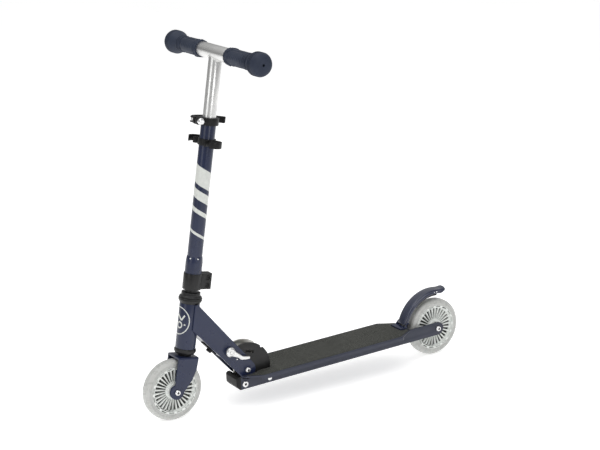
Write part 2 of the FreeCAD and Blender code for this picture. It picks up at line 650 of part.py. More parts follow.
def build_channel():
    """The narrow channel under the deck: its walls run back to hold the rear axle."""
    body = new_body("chassis_channel_body", DECK)
    wall = "Dims.channel_wall"
    inner = "Dims.channel_half - " + wall
    top, floor = "Dims.channel_top", "Dims.channel_floor"
    inside_floor = "%s + %s" % (floor, wall)
    section = [("-Dims.channel_half", top), ("-(%s)" % inner, top), ("-(%s)" % inner, inside_floor),
               (inner, inside_floor), (inner, top), ("Dims.channel_half", top),
               ("Dims.channel_half", floor), ("-Dims.channel_half", floor)]
    middle = "-(Dims.channel_front + Dims.channel_rear) / 2"
    pad(body, polygon(body, section, "XZ_Plane", middle), "Dims.channel_rear - Dims.channel_front")
    gap = dim("channel_half") - dim("channel_wall")
    rear = dim("channel_rear")
    well = [(-gap, "Dims.wheel_well"), (gap, "Dims.wheel_well"), (gap, rear + 5), (-gap, rear + 5)]
    pocket(body, polygon(body, well), 120.0)
    round_edges(body, 13.2, lambda centre, radius: centre.y > rear - 0.01 and abs(centre.x) > gap
                and min(abs(centre.z - dim("channel_top")), abs(centre.z - dim("channel_floor"))) < 0.01)
    recess = (PIVOT_IN_DECK.y, PIVOT_IN_DECK.z)
    pocket(body, circles(body, ["Dims.pivot_recess"], recess, "YZ_Plane"))
    pocket(body, circles(body, ["Dims.axle_radius"], (AXLE_IN_DECK.y, AXLE_IN_DECK.z), "YZ_Plane"))
    for spot in CHASSIS_BOLTS:
        local = DECK.inverse().multVec(spot)
        pocket(body, circles(body, ["Dims.chassis_bolt_radius"], (local.y, local.z), "YZ_Plane"))
    keep(body, "chassis_channel")


def build_nose():
    body = new_body("nose_cap_body", DECK)
    front = "Dims.nose_front"
    rear = "Dims.channel_front"
    outline = [(front, "Dims.channel_top - 4"), ("Dims.nose_front + 4", "Dims.channel_top"),
               (rear, "Dims.channel_top"), (rear, "Dims.channel_floor"),
               ("Dims.nose_front + 7", "Dims.channel_floor"), (front, "Dims.channel_floor + 8")]
    pad(body, polygon(body, outline, role="YZ_Plane"), "Dims.channel_half * 2")
    recess = (PIVOT_IN_DECK.y, PIVOT_IN_DECK.z)
    pocket(body, circles(body, ["Dims.pivot_recess"], recess, "YZ_Plane"))
    edge = dim("nose_front") + 0.01
    side = dim("channel_half") - 0.01
    round_edges(body, 2.5, lambda centre, radius: centre.y < edge and abs(centre.x) > side)
    keep(body, "nose_cap")


build_deck_plate()
build_grip_tape()
build_channel()
build_nose()

# ---------------------------------------------------------------- folding joint

def build_quadrant(name, low_x, high_x):
    """Lock plate: a sector about the fold pivot with two rim notches and a foot in the channel."""
    place = placed(tuple(PIVOT))
    body = new_body(name + "_body", place)
    middle = (low_x + high_x) / 2
    thick = high_x - low_x
    pad(body, circles(body, ["Dims.quadrant_radius"], role="YZ_Plane", shift=middle), thick)
    below = [(-80.0, -80.0), (80.0, -80.0), (80.0, -6.4), (-80.0, -10.8)]
    pocket(body, polygon(body, below, "YZ_Plane"))
    front_edge = math.radians(dim("neck_angle") + 14.0)
    cut_y, cut_z = 80 * math.cos(front_edge), 80 * math.sin(front_edge)
    ahead = [(-16.0, -30.0), (-12.0, 8.0), (cut_y, cut_z), (-90.0, cut_z), (-90.0, -30.0)]
    pocket(body, polygon(body, ahead, "YZ_Plane"))
    foot = [(-14.0, -34.6), (-14.0, -4.0), (52.0, -4.0), (54.0, -10.0), (54.0, -33.0)]
    pad(body, polygon(body, foot, "YZ_Plane", middle), thick)
    pocket(body, circles(body, ["Dims.pivot_radius"], role="YZ_Plane"))
    for spot in CHASSIS_BOLTS:
        local = spot - PIVOT
        pocket(body, circles(body, ["Dims.chassis_bolt_radius"], (local.y, local.z), "YZ_Plane"))
    depth = dim("latch_place") - dim("latch_travel")
    for angle in (dim("neck_angle"), dim("neck_angle") - dim("fold_angle")):
        turn = math.radians(angle)
        seat = (depth * math.cos(turn), depth * math.sin(turn))
        pocket(body, circles(body, ["Dims.latch_radius + 0.4"], seat, "YZ_Plane"))
    slot = new_body(name + "_slot_tool", place)
    pad(slot, circles(slot, [38.5, 33.0], role="YZ_Plane", shift=middle), thick + 4)
    pocket(slot, polygon(slot, [(0, 0), (-4.0, 60.0), (-90.0, 60.0), (-90.0, -90.0), (90.0, -90.0),
                                (90.0, 40.0), (24.0, 44.0)], "YZ_Plane"))
    result = cut(name + "_slotted", body, slot)
    keep(result, name)


build_quadrant("quadrant_left", 14.2, 18.6)
build_quadrant("quadrant_right", -10.0, -6.0)
spacer_tubes = []
for index, spot in enumerate(CHASSIS_BOLTS):
    for part_name, low, high in (("mid", -6.0, 14.2), ("end", -19.0, -10.0)):
        spacer_tubes.append(ring("quadrant_spacer_%s_%d" % (part_name, index), 5.5,
                                 "Dims.chassis_bolt_radius", low, high, across(tuple(spot))))
keep(grouped("quadrant_spacer_set", spacer_tubes), "quadrant_spacers")
pivot_bolt = cap_bolt("pivot_bolt_body", across((22.3, PIVOT.y, PIVOT.z)), 7.0, 4.6, "Dims.pivot_radius",
                      51.0, 3.2)
keep(pivot_bolt, "pivot_bolt")
keep(hex_nut("pivot_nut_body", across((-22.3, PIVOT.y, PIVOT.z), -1), 8.2, 6.0, dim("pivot_radius")),
     "pivot_nut")
side_face = dim("channel_half")
front_spot, rear_spot = CHASSIS_BOLTS
chassis_bolt = cap_bolt("chassis_bolt_front", across((side_face, front_spot.y, front_spot.z)), 6.4, 3.6,
                        "Dims.chassis_bolt_radius", 2 * side_face, 2.8)
chassis_rivet = cap_bolt("chassis_bolt_rear", across((side_face, rear_spot.y, rear_spot.z)), 4.8, 1.6,
                         "Dims.chassis_bolt_radius", 2 * side_face)
keep(grouped("chassis_bolt_pair", [chassis_bolt, chassis_rivet]), "chassis_bolts")


def build_neck():
    """Tapered box beam: closed behind the head tube, an open clevis round the pivot."""
    body = new_body("neck_beam_body", NECK)
    slope = math.radians(dim("neck_angle")) - math.radians(90 - dim("steer_tilt"))
    to_axis = NECK.inverse().multVec(STEER.multVec(V(0, 0, dim("head_high"))))
    half = dim("neck_head_half")
    upper = to_axis.y + (to_axis.z + half) / math.tan(slope)
    lower = to_axis.y + (to_axis.z - half) / math.tan(slope)
    end = "Dims.neck_end"
    outline = [(0.0, "-" + end), (upper, "-Dims.neck_head_half"), (lower, "Dims.neck_head_half"), (0.0, end)]
    pad(body, polygon(body, outline, role="YZ_Plane"), "Dims.neck_half * 2")
    pad(body, circles(body, [end], role="YZ_Plane"), "Dims.neck_half * 2")
    wall = dim("neck_wall")
    start_half = dim("neck_end") + (half - dim("neck_end")) * dim("web_start") / upper - wall
    inside = [(-30.0, -40.0), (dim("web_start"), -40.0), (dim("web_start"), -start_half),
              (upper + 9, wall - half), (lower + 9, half - wall), (dim("web_start"), start_half),
              (dim("web_start"), 40.0), (-30.0, 40.0)]
    pocket(body, polygon(body, inside, role="YZ_Plane"), "(Dims.neck_half - Dims.neck_wall) * 2")
    pocket(body, circles(body, ["Dims.pivot_radius + Dims.running_gap"], role="YZ_Plane"))
    reach = dim("latch_radius") + 0.3
    corner = 2.2
    low = dim("latch_place") - dim("latch_travel") - reach + corner
    high = dim("latch_place") + reach - corner
    slot = [(low, -reach), (high, -reach), (high + corner, corner - reach), (high + corner, reach - corner),
            (high, reach), (low, reach), (low - corner, reach - corner), (low - corner, corner - reach)]
    pocket(body, polygon(body, slot, role="YZ_Plane"))
    head = cylinder("neck_cope", "Dims.head_radius", 160.0, STEER * placed((0, 0, 110.0)))
    relief_foot = STEER * placed((0, 0, dim("head_high") - 0.4))
    cup = cylinder("neck_cup_relief", "Dims.upper_cup_radius + 0.3", 40.0, relief_foot)
    keep(cut("neck_beam_coped", body, fused("neck_cope_tools", [head, cup])), "neck_beam")


def build_neck_strip():
    """Moulded strip under the neck, close to the head tube, with a round knob on it."""
    lower_face = NECK * placed((0, 0, dim("neck_end")), 1.13)
    strip = box("neck_strip_plate", (14.0, 35.0, 2.0), (-7.0, 70.0, 0.0), lower_face)
    knob = cylinder("neck_strip_knob", 5.5, 4.5, lower_face * placed((0, 83.0, 2.0)))
    keep(fused("neck_strip_body", [strip, knob]), "neck_strip")


def build_latch():
    """Cross pin that drops into the quadrants' notches, its nut and its curved lever."""
    centre = NECK.multVec(V(0, dim("latch_place"), 0))
    pin = cylinder("latch_pin_body", "Dims.latch_radius", 55.6, across((-29.0, centre.y, centre.z)))
    washer = ring("latch_washer_left", 8.0, dim("latch_radius"), 22.2, 23.4, across((0, centre.y, centre.z)))
    washer_right = ring("latch_washer_right", 8.0, dim("latch_radius"), 22.2, 23.4,
                        across((0, centre.y, centre.z), -1))
    keep(pin, "latch_pin")
    keep(grouped("latch_washer_pair", [washer, washer_right]), "latch_washers")
    nut = hex_nut("latch_nut_body", across((-23.4, centre.y, centre.z), -1), 7.2, 5.6, dim("latch_radius"))
    keep(nut, "latch_nut")

    frame = NECK * placed((23.6, dim("latch_place"), 0))
    lever = new_body("latch_lever_body", frame)
    pad(lever, circles(lever, [9.5], role="YZ_Plane"), 7.6, False)
    round_edges(lever, 2.6, lambda spot, radius: spot.x > 7.5)
    arm = [(-2.0, -8.5), (-8.0, -6.8), (-17.0, -9.5), (-27.0, -11.0), (-35.0, -17.0), (-40.0, -21.5),
           (-43.0, -17.5), (-38.0, -11.5), (-30.0, -3.5), (-19.0, -1.0), (-12.0, 2.5), (-6.0, 7.0)]
    pad(lever, polygon(lever, arm, "YZ_Plane", 1.6), 4.4, False)
    pocket(lever, circles(lever, ["Dims.latch_radius + 0.05"], role="YZ_Plane"), 3.2 * 2)
    keep(lever, "latch_lever")


build_neck()
build_neck_strip()
build_latch()

# ---------------------------------------------------------------- rear brake

def band_trim(body, start, stop):
    """Remove a ring about the rear axle outside the sector from start to stop degrees."""
    far = 260.0
    first, last = math.radians(start), math.radians(stop)
    corners = [(0.0, 0.0), (far * math.cos(last), far * math.sin(last)), (far, far * math.sin(last)),
               (far, -far), (-far, -far), (-far, far * math.sin(first) * 0.4),
               (far * math.cos(first), far * math.sin(first))]
    pocket(body, polygon(body, corners, role="YZ_Plane"))


def build_brake():
    body = new_body("brake_lever_body", placed(tuple(REAR_AXLE)))
    inner = "Dims.brake_outer - Dims.brake_depth"
    pad(body, circles(body, ["Dims.brake_outer", inner], role="YZ_Plane"), "Dims.brake_half * 2")
    band_trim(body, dim("brake_start"), dim("brake_stop"))
    stop = math.radians(dim("brake_stop"))
    outer_y, outer_z = dim("brake_outer") * math.cos(stop), dim("brake_outer") * math.sin(stop)
    tip = [(outer_y, outer_z), (outer_y + 15.0, outer_z + 4.2), (outer_y + 16.6, outer_z + 2.0),
           (outer_y + 14.0, outer_z - 2.6), (outer_y - 1.0, outer_z - 7.0)]
    pad(body, polygon(body, tip, role="YZ_Plane"), "Dims.brake_half * 2")
    hollow = "Dims.brake_outer - Dims.brake_skin"
    pocket(body, circles(body, [hollow, 60.0], role="YZ_Plane"), "(Dims.brake_half - Dims.brake_skin) * 2")
    pin = brake_pin_offset()
    add_knuckles(body, pin)
    pocket(body, circles(body, [2.55], pin, "YZ_Plane"))
    half = dim("brake_half") - 0.01
    round_edges(body, 4.0, lambda spot, radius: spot.y > outer_y + 12 and abs(spot.x) > half - 2
                and spot.z > outer_z - 4)
    keep(body, "brake_lever")

    pad_body = new_body("brake_pad_body", placed(tuple(REAR_AXLE)))
    pad(pad_body, circles(pad_body, [hollow, "Dims.pad_inner"], role="YZ_Plane"), "Dims.pad_half * 2")
    band_trim(pad_body, dim("brake_start") - 32, dim("brake_stop") + 3)
    keep(pad_body, "brake_pad")

    pin_world = REAR_AXLE + V(0, *pin)
    keep(cap_bolt("brake_pin_body", across((17.6, pin_world.y, pin_world.z)), 4.2, 2.0, 2.5, 36.6),
         "brake_pin")
    coils = []
    for index in range(6):
        coil = doc.addObject("Part::Torus", "brake_spring_coil_%d" % index)
        coil.Radius1 = 3.7
        coil.Radius2 = 0.8
        coil.Placement = across((-5.0 + 2.0 * index, pin_world.y, pin_world.z))
        coils.append(coil)
    core = ring("brake_spring_core", 3.7, 2.55, -6.0, 6.0, across(tuple(pin_world)))
    keep(fused("brake_spring_body", coils + [core]), "brake_spring")

    local = brake_pin_in_deck()
    bracket = new_body("brake_bracket_body", DECK)
    base_front, base_rear = local.y - 20.0, local.y - 6.4
    base = [(base_front, 0.0), (base_rear, 0.0), (base_rear, 3.0), (base_front, 3.0)]
    pad(bracket, polygon(bracket, base, role="YZ_Plane"), 34.4)
    ear = [(local.y - 12.0, 0.0), ("Dims.deck_rear", 0.0), (local.y + 5.0, local.z),
           (local.y + 2.0, local.z + 5.0), (local.y - 2.0, local.z + 5.0)]
    for side in (-1, 1):
        pad(bracket, polygon(bracket, ear, "YZ_Plane", side * 15.9), 2.6)
    pocket(bracket, circles(bracket, [2.5], (local.y, local.z), "YZ_Plane"))
    keep(bracket, "brake_bracket")


def add_knuckles(body, pin):
    """Round lugs of the brake lever about its hinge pin."""
    for side in (-1, 1):
        shift = side * (dim("brake_half") - dim("brake_skin") / 2)
        pad(body, circles(body, [5.0], pin, "YZ_Plane", shift), "Dims.brake_skin")


build_brake()

# ---------------------------------------------------------------- checks and files

doc.recompute()
for thing in doc.Objects:
    if "Invalid" in thing.State or "Error" in thing.State:
        raise RuntimeError("%s failed: %s" % (thing.Label, thing.State))
os.makedirs("parts", exist_ok=True)
for node in nodes:
    if node.Shape.isNull() or not node.Shape.isValid() or not node.Shape.Solids:
        raise RuntimeError("bad shape in " + node.Label)
    node.Shape.exportStep("parts/%s.step" % node.Label)
print("%d nodes written" % len(nodes))
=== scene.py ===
"""Looks of the folding kick scooter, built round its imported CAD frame.

Metres, +Z up, the scooter faces -Y and its left side is +X. The pieces' own lengths are written in
millimetres, which MM turns into metres; the stage, the lights and the camera are written in metres.
"""
import json
import math

import bmesh
import bpy
from mathutils import Matrix, Vector


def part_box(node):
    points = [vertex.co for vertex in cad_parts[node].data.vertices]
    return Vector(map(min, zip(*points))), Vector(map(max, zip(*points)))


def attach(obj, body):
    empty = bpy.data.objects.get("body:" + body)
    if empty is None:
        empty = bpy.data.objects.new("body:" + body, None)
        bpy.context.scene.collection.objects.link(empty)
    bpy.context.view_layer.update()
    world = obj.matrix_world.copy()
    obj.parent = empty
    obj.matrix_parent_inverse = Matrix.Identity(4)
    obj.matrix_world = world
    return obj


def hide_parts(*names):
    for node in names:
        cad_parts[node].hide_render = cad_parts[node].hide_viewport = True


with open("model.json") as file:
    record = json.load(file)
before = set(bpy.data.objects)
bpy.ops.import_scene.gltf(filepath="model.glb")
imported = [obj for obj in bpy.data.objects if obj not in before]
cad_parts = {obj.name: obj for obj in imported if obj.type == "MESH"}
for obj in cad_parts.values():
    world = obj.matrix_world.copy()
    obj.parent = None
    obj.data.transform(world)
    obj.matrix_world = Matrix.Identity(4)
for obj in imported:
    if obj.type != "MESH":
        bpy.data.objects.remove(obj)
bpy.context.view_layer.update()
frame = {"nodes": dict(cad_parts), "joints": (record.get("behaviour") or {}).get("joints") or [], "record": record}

MM = 0.001
JOINTS = {joint["name"]: joint for joint in frame["joints"]}
X_AXIS = Vector((1, 0, 0))
SMOOTH_DEGREES = 32.0


# ------------------------------------------------------------------ working frames

def axes_matrix(origin, x_axis, y_axis, z_axis):
    matrix = Matrix.Identity(4)
    for index, axis in enumerate((x_axis, y_axis, z_axis)):
        for row in range(3):
            matrix[row][index] = axis[row]
    matrix.translation = origin
    return matrix


def along(origin, z_axis, x_axis=X_AXIS):
    """Frame with its z along z_axis and its x as near as possible to x_axis."""
    z_axis = Vector(z_axis).normalized()
    y_axis = z_axis.cross(x_axis).normalized()
    return axes_matrix(Vector(origin), y_axis.cross(z_axis), y_axis, z_axis)


def shifted(place, x=0.0, y=0.0, z=0.0):
    return place @ Matrix.Translation(Vector((x, y, z)) * MM)


STEER = along(JOINTS["steering"]["pos_m"], JOINTS["steering"]["axis"])
NECK_Y = Vector(JOINTS["latch_slide"]["axis"])
PIVOT = Vector(JOINTS["neck_fold"]["pos_m"])
NECK = axes_matrix(PIVOT, X_AXIS, NECK_Y, X_AXIS.cross(NECK_Y))
AXLES = {side: Vector(JOINTS[side + "_wheel_spin"]["pos_m"]) for side in ("front", "rear")}
BRAKE_PIN = Vector(JOINTS["brake_press"]["pos_m"])
LATCH_PIN = Vector(JOINTS["latch_lever_turn"]["pos_m"])
BAR_HEIGHT = 703.0


def across(point, side=1):
    """Frame at a point with its z along +X (side 1) or -X (side -1), its y along +Y."""
    return axes_matrix(Vector(point), Vector((0, 0, -side)), Vector((0, 1, 0)), Vector((side, 0, 0)))


# ------------------------------------------------------------------ mesh helpers

def rounded(points, closed=True, step=12.0):
    """Outline with fillets: a point is (x, y) or (x, y, radius)."""
    result = []
    count = len(points)
    for index, point in enumerate(points):
        corner = Vector(point[:2])
        radius = point[2] if len(point) > 2 else 0.0
        if not radius or (not closed and index in (0, count - 1)):
            result.append(tuple(corner))
            continue
        before = (Vector(points[index - 1][:2]) - corner).normalized()
        after = (Vector(points[(index + 1) % count][:2]) - corner).normalized()
        half = before.angle(after) / 2
        centre = corner + (before + after).normalized() * (radius / math.sin(half))
        arm = corner + before * (radius / math.tan(half)) - centre
        turn = math.pi - 2 * half
        sign = 1 if before.y * after.x - before.x * after.y > 0 else -1
        parts = max(2, math.ceil(math.degrees(turn) / step))
        for part in range(parts + 1):
            angle = sign * turn * part / parts
            result.append((centre.x + arm.x * math.cos(angle) - arm.y * math.sin(angle),
                           centre.y + arm.x * math.sin(angle) + arm.y * math.cos(angle)))
    return result


def circle(radius, count):
    """Regular outline about the origin; a count of 6 is a drive socket's hexagon."""
    points = []
    for index in range(count):
        angle = 2 * math.pi * index / count
        points.append((radius * math.cos(angle), radius * math.sin(angle)))
    return points


def lathe_mesh(profile, place, steps=96, wave=None):
    """Turn (radius, height) points about the local z. A profile that starts and ends on the axis
    closes itself, any other profile is a closed loop. wave(height, angle, radius) adds to the radius."""
    mesh = bmesh.new()
    rings = []
    for radius, height in profile:
        if radius < 1e-6:
            rings.append([mesh.verts.new(place @ (Vector((0, 0, height)) * MM))])
            continue
        row = []
        for index in range(steps):
            angle = 2 * math.pi * index / steps
            reach = radius + (wave(height, angle, radius) if wave else 0.0)
            spot = Vector((reach * math.cos(angle), reach * math.sin(angle), height)) * MM
            row.append(mesh.verts.new(place @ spot))
        rings.append(row)
    pairs = list(zip(rings, rings[1:]))
    if len(rings[0]) > 1:
        pairs.append((rings[-1], rings[0]))
    for first, second in pairs:
        for index in range(steps):
            corners = [first[index % len(first)], first[(index + 1) % steps % len(first)],
                       second[(index + 1) % steps % len(second)], second[index % len(second)]]
            unique = list(dict.fromkeys(corners))
            if len(unique) > 2:
                mesh.faces.new(unique)
    return mesh


def plate_mesh(outline, holes, thickness, bevel, place):
    """Flat plate in the local xy plane, centred on it, with bevelled edges and holes."""
    curve = bpy.data.curves.new("outline", "CURVE")
    curve.dimensions = "2D"
    curve.fill_mode = "BOTH"
    curve.extrude = (thickness / 2 - bevel) * MM
    curve.bevel_depth = bevel * MM
    curve.bevel_resolution = 2
    curve.offset = -bevel * MM
    for index, loop in enumerate([outline] + list(holes)):
        area = sum(a[0] * b[1] - a[1] * b[0] for a, b in zip(loop, loop[1:] + loop[:1]))
        if (area > 0) != (index == 0):
            loop = loop[::-1]
        spline = curve.splines.new("POLY")
        spline.points.add(len(loop) - 1)
        for point, (x, y) in zip(spline.points, loop):
            point.co = (x * MM, y * MM, 0, 1)
        spline.use_cyclic_u = True
    holder = bpy.data.objects.new("outline", curve)
    data = bpy.data.meshes.new_from_object(holder)
    mesh = bmesh.new()
    mesh.from_mesh(data)
    bmesh.ops.remove_doubles(mesh, verts=mesh.verts, dist=2e-6)
    mesh.transform(place)
    bpy.data.objects.remove(holder)
    bpy.data.curves.remove(curve)
    bpy.data.meshes.remove(data)
    return mesh


def loft_mesh(sections, closed_path=False):
    """Skin through equal-length closed sections, given as world points in metres."""
    mesh = bmesh.new()
    rows = [[mesh.verts.new(point) for point in section] for section in sections]
    pairs = list(zip(rows, rows[1:]))
    if closed_path:
        pairs.append((rows[-1], rows[0]))
    for first, second in pairs:
        count = len(first)
        for index in range(count):
            after = (index + 1) % count
            mesh.faces.new((first[index], first[after], second[after], second[index]))
    if not closed_path:
        mesh.faces.new(rows[0][::-1])
        mesh.faces.new(rows[-1])
    return mesh


def tube_mesh(path, radius_at, closed, sides):
    """Round tube along world points in metres; radius_at(index) is in millimetres."""
    sections = []
    count = len(path)
    normal = None
    for index, point in enumerate(path):
        before = path[index - 1] if closed or index else point
        after = path[(index + 1) % count] if closed or index < count - 1 else point
        tangent = (after - before).normalized()
        if normal is None:
            normal = tangent.orthogonal().normalized()
        normal = (normal - tangent * normal.dot(tangent)).normalized()
        side = tangent.cross(normal)
        radius = radius_at(index) * MM
        ring = []
        for step in range(sides):
            angle = 2 * math.pi * step / sides
            ring.append(point + normal * (radius * math.cos(angle)) + side * (radius * math.sin(angle)))
        sections.append(ring)
    return loft_mesh(sections, closed)


def joined(*meshes):
    """All the given bmeshes in one."""
    whole = bmesh.new()
    for mesh in meshes:
        data = bpy.data.meshes.new("part")
        mesh.to_mesh(data)
        mesh.free()
        whole.from_mesh(data)
        bpy.data.meshes.remove(data)
    return whole


def add_piece(name, mesh, body, slot, replaces=(), sharp=SMOOTH_DEGREES, material=None):
    """Turn a bmesh into a named object that rides on a body, in its slot's material or a given one."""
    bmesh.ops.recalc_face_normals(mesh, faces=mesh.faces)
    data = bpy.data.meshes.new(name)
    mesh.to_mesh(data)
    mesh.free()
    data.shade_smooth()
    data.set_sharp_from_angle(angle=math.radians(sharp))
    data.materials.append(material or MATERIALS[slot])
    piece = bpy.data.objects.new(name, data)
    bpy.context.scene.collection.objects.link(piece)
    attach(piece, body)
    if replaces:
        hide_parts(*replaces)
    return piece


# ------------------------------------------------------------------ material helpers

class Shader:
    """A material's node tree with short calls for the nodes used here."""

    def __init__(self, name):
        self.material = bpy.data.materials.new(name)
        self.material.use_nodes = True
        self.tree = self.material.node_tree
        self.bsdf = self.tree.nodes["Principled BSDF"]
        self.place = self.node("ShaderNodeTexCoord").outputs["Object"]

    def node(self, kind, inputs=None, **settings):
        made = self.tree.nodes.new(kind)
        for key, value in settings.items():
            setattr(made, key, value)
        for key, value in (inputs or {}).items():
            if isinstance(value, bpy.types.NodeSocket):
                self.tree.links.new(value, made.inputs[key])
            else:
                made.inputs[key].default_value = value
        return made

    def set(self, **values):
        for key, value in values.items():
            socket = self.bsdf.inputs[key.replace("_", " ")]
            if isinstance(value, bpy.types.NodeSocket):
                self.tree.links.new(value, socket)
            else:
                socket.default_value = value

    def noise(self, scale, detail=2.0, rough=0.5, stretch=None):
        vector = self.place
        if stretch:
            vector = self.node("ShaderNodeMapping", {"Vector": vector, "Scale": stretch}).outputs["Vector"]
        made = self.node("ShaderNodeTexNoise",
                         {"Vector": vector, "Scale": scale, "Detail": detail, "Roughness": rough})
        return made.outputs["Fac"]

    def level(self, value, low, high, out_low, out_high):
        """Map a value from one range to another, clamped."""
        made = self.node("ShaderNodeMapRange", {"Value": value, "From Min": low, "From Max": high,
                                                "To Min": out_low, "To Max": out_high})
        return made.outputs["Result"]

    def mix(self, factor, first, second):
        """Blend two colours; the Mix node's colour sockets are told apart by their numbers."""
        made = self.node("ShaderNodeMix", data_type="RGBA")
        for socket, value in ((made.inputs[0], factor), (made.inputs[6], first), (made.inputs[7], second)):
            if isinstance(value, bpy.types.NodeSocket):
                self.tree.links.new(value, socket)
            elif isinstance(value, tuple) and len(value) == 3:
                socket.default_value = value + (1.0,)
            else:
                socket.default_value = value
        return made.outputs[2]

    def math(self, operation, first, second):
        return self.node("ShaderNodeMath", {0: first, 1: second}, operation=operation).outputs[0]

    def bump(self, height, distance_mm, strength):
        inputs = {"Height": height, "Distance": distance_mm * MM, "Strength": strength}
        return self.node("ShaderNodeBump", inputs).outputs["Normal"]

    def edges(self, radius_mm):
        """Edge mask for wear and for painted edge highlights: 1 where a rounded normal differs from the true one,
        broken up by noise.
        """
        soft = self.node("ShaderNodeBevel", {"Radius": radius_mm * MM}, samples=4).outputs["Normal"]
        true = self.node("ShaderNodeNewGeometry").outputs["Normal"]
        dot = self.node("ShaderNodeVectorMath", {0: soft, 1: true}, operation="DOT_PRODUCT").outputs["Value"]
        bend = self.level(dot, 0.93, 0.80, 0.0, 1.0)
        return self.math("MULTIPLY", bend, self.level(self.noise(900.0, 4.0), 0.46, 0.6, 0.0, 1.0))


def painted(name, dark, light, worn, roughness, coat):
    """Powder coat: slow colour drift, orange peel, dust specks and lighter edges: wear, and with a pale worn tint
    a painted highlight as well.
    """
    shader = Shader(name)
    drift = shader.mix(shader.level(shader.noise(9.0, 3.0), 0.35, 0.65, 0.0, 1.0), dark, light)
    speck = shader.level(shader.noise(2600.0, 1.0), 0.70, 0.76, 0.0, 0.5)
    specked = shader.mix(speck, drift, tuple(min(1.0, c * 1.8 + 0.01) for c in light))
    # Edges lighten towards the worn tint: wear, and with the brake's pale tint a painted highlight too.
    colour = shader.mix(shader.math("MULTIPLY", shader.edges(0.5), 0.55), specked, worn)
    rough = shader.level(shader.noise(60.0, 4.0), 0.3, 0.7, roughness - 0.05, roughness + 0.07)
    peel = shader.bump(shader.noise(520.0, 2.0), 0.05, 0.35)
    shader.set(Base_Color=colour, Roughness=rough, Normal=peel, Coat_Weight=coat, Coat_Roughness=0.12,
               Specular_IOR_Level=0.34)
    return shader.material


def moulded(name, dark, light, roughness, grain=1500.0, depth=0.06):
    """Moulded plastic or rubber: fine spark-eroded grain, a little bloom and polished edges."""
    shader = Shader(name)
    bloom = shader.level(shader.noise(22.0, 5.0, 0.6), 0.3, 0.7, 0.0, 1.0)
    colour = shader.mix(bloom, dark, light)
    worn = shader.mix(shader.math("MULTIPLY", shader.edges(0.6), 0.4), colour, tuple(c * 2.2 for c in light))
    rough = shader.level(shader.noise(90.0, 3.0), 0.3, 0.7, roughness - 0.06, roughness + 0.06)
    skin = shader.bump(shader.noise(grain, 3.0, 0.6), depth, 0.6)
    shader.set(Base_Color=worn, Roughness=rough, Normal=skin, Specular_IOR_Level=0.24)
    return shader.material


def bare_metal(name, tint, roughness, stretch, brush_depth=0.012, stain=None):
    """Bare or plated metal: brush lines along the part, faint smears and fine scratches."""
    shader = Shader(name)
    lines = shader.noise(1.0, 6.0, 0.65, stretch)
    smear = shader.level(shader.noise(35.0, 4.0), 0.35, 0.65, 0.0, 1.0)
    dull = stain or tuple(c * 0.86 for c in tint)
    colour = shader.mix(smear, tint, dull)
    rough = shader.math("ADD", shader.level(lines, 0.3, 0.7, roughness - 0.05, roughness + 0.08),
                        shader.level(smear, 0.0, 1.0, 0.0, 0.06))
    coarse = shader.noise(1.0, 2.0, 0.5, tuple(c * 0.45 for c in stretch))
    scratch = shader.level(coarse, 0.62, 0.66, 0.0, 0.4)
    height = shader.math("SUBTRACT", lines, scratch)
    shader.set(Base_Color=colour, Metallic=1.0, Roughness=rough, Normal=shader.bump(height, brush_depth, 0.5))
    return shader.material


def grit_material():
    """Anti-slip sheet: coarse mineral grains in a dark binder, a few catching the light."""
    shader = Shader("anti_slip_grit")
    grain = shader.node("ShaderNodeTexVoronoi", {"Vector": shader.place, "Scale": 1100.0}).outputs["Distance"]
    clump = shader.noise(420.0, 3.0, 0.6)
    wear = shader.level(shader.noise(14.0, 4.0), 0.35, 0.7, 0.0, 1.0)
    base = shader.mix(wear, (0.022, 0.023, 0.020), (0.036, 0.037, 0.033))
    tint = shader.mix(shader.level(clump, 0.4, 0.62, 0.0, 1.0), base, (0.062, 0.064, 0.056))
    glint = shader.level(shader.noise(2400.0, 0.0), 0.70, 0.74, 0.0, 0.7)
    colour = shader.mix(glint, tint, (0.20, 0.20, 0.19))
    height = shader.math("ADD", shader.level(grain, 0.0, 0.5, 1.0, 0.0), clump)
    shader.set(Base_Color=colour, Roughness=0.88, Normal=shader.bump(height, 0.35, 0.8),
               Specular_IOR_Level=0.3)
    return shader.material


def urethane_material():
    """Clear-grey cast urethane: cloudy inside, glossy skin, road dust on the tread."""
    shader = Shader("cast_urethane")
    cloud = shader.level(shader.noise(45.0, 4.0, 0.6), 0.3, 0.7, 0.0, 1.0)
    flow = shader.level(shader.noise(1.0, 3.0, 0.5, (500.0, 60.0, 60.0)), 0.4, 0.6, 0.0, 0.12)
    colour = shader.mix(cloud, (0.44, 0.445, 0.43), (0.50, 0.505, 0.485))
    streaked = shader.mix(flow, colour, (0.48, 0.49, 0.47))
    rough = shader.level(shader.noise(120.0, 3.0), 0.3, 0.7, 0.22, 0.36)
    skin = shader.bump(shader.noise(260.0, 2.0), 0.04, 0.4)
    shader.set(Base_Color=streaked, Roughness=rough, Normal=skin, Transmission_Weight=0.06, IOR=1.46,
               Subsurface_Weight=0.25, Subsurface_Radius=(0.006, 0.006, 0.005), Subsurface_Scale=1.0,
               Coat_Weight=0.15, Coat_Roughness=0.1)
    return shader.material


def decal_material():
    """Printed vinyl: off-white ink with a faint mottle and scuffs."""
    shader = Shader("printed_vinyl")
    mottle = shader.level(shader.noise(160.0, 4.0), 0.3, 0.7, 0.0, 1.0)
    colour = shader.mix(mottle, (0.50, 0.515, 0.49), (0.57, 0.585, 0.555))
    scuff = shader.level(shader.noise(1.0, 3.0, 0.5, (60.0, 60.0, 700.0)), 0.64, 0.70, 0.0, 0.35)
    rough = shader.level(mottle, 0.0, 1.0, 0.32, 0.44)
    shader.set(Base_Color=shader.mix(scuff, colour, (0.50, 0.51, 0.50)), Roughness=rough,
               Normal=shader.bump(mottle, 0.02, 0.3), Coat_Weight=0.3, Coat_Roughness=0.15)
    return shader.material


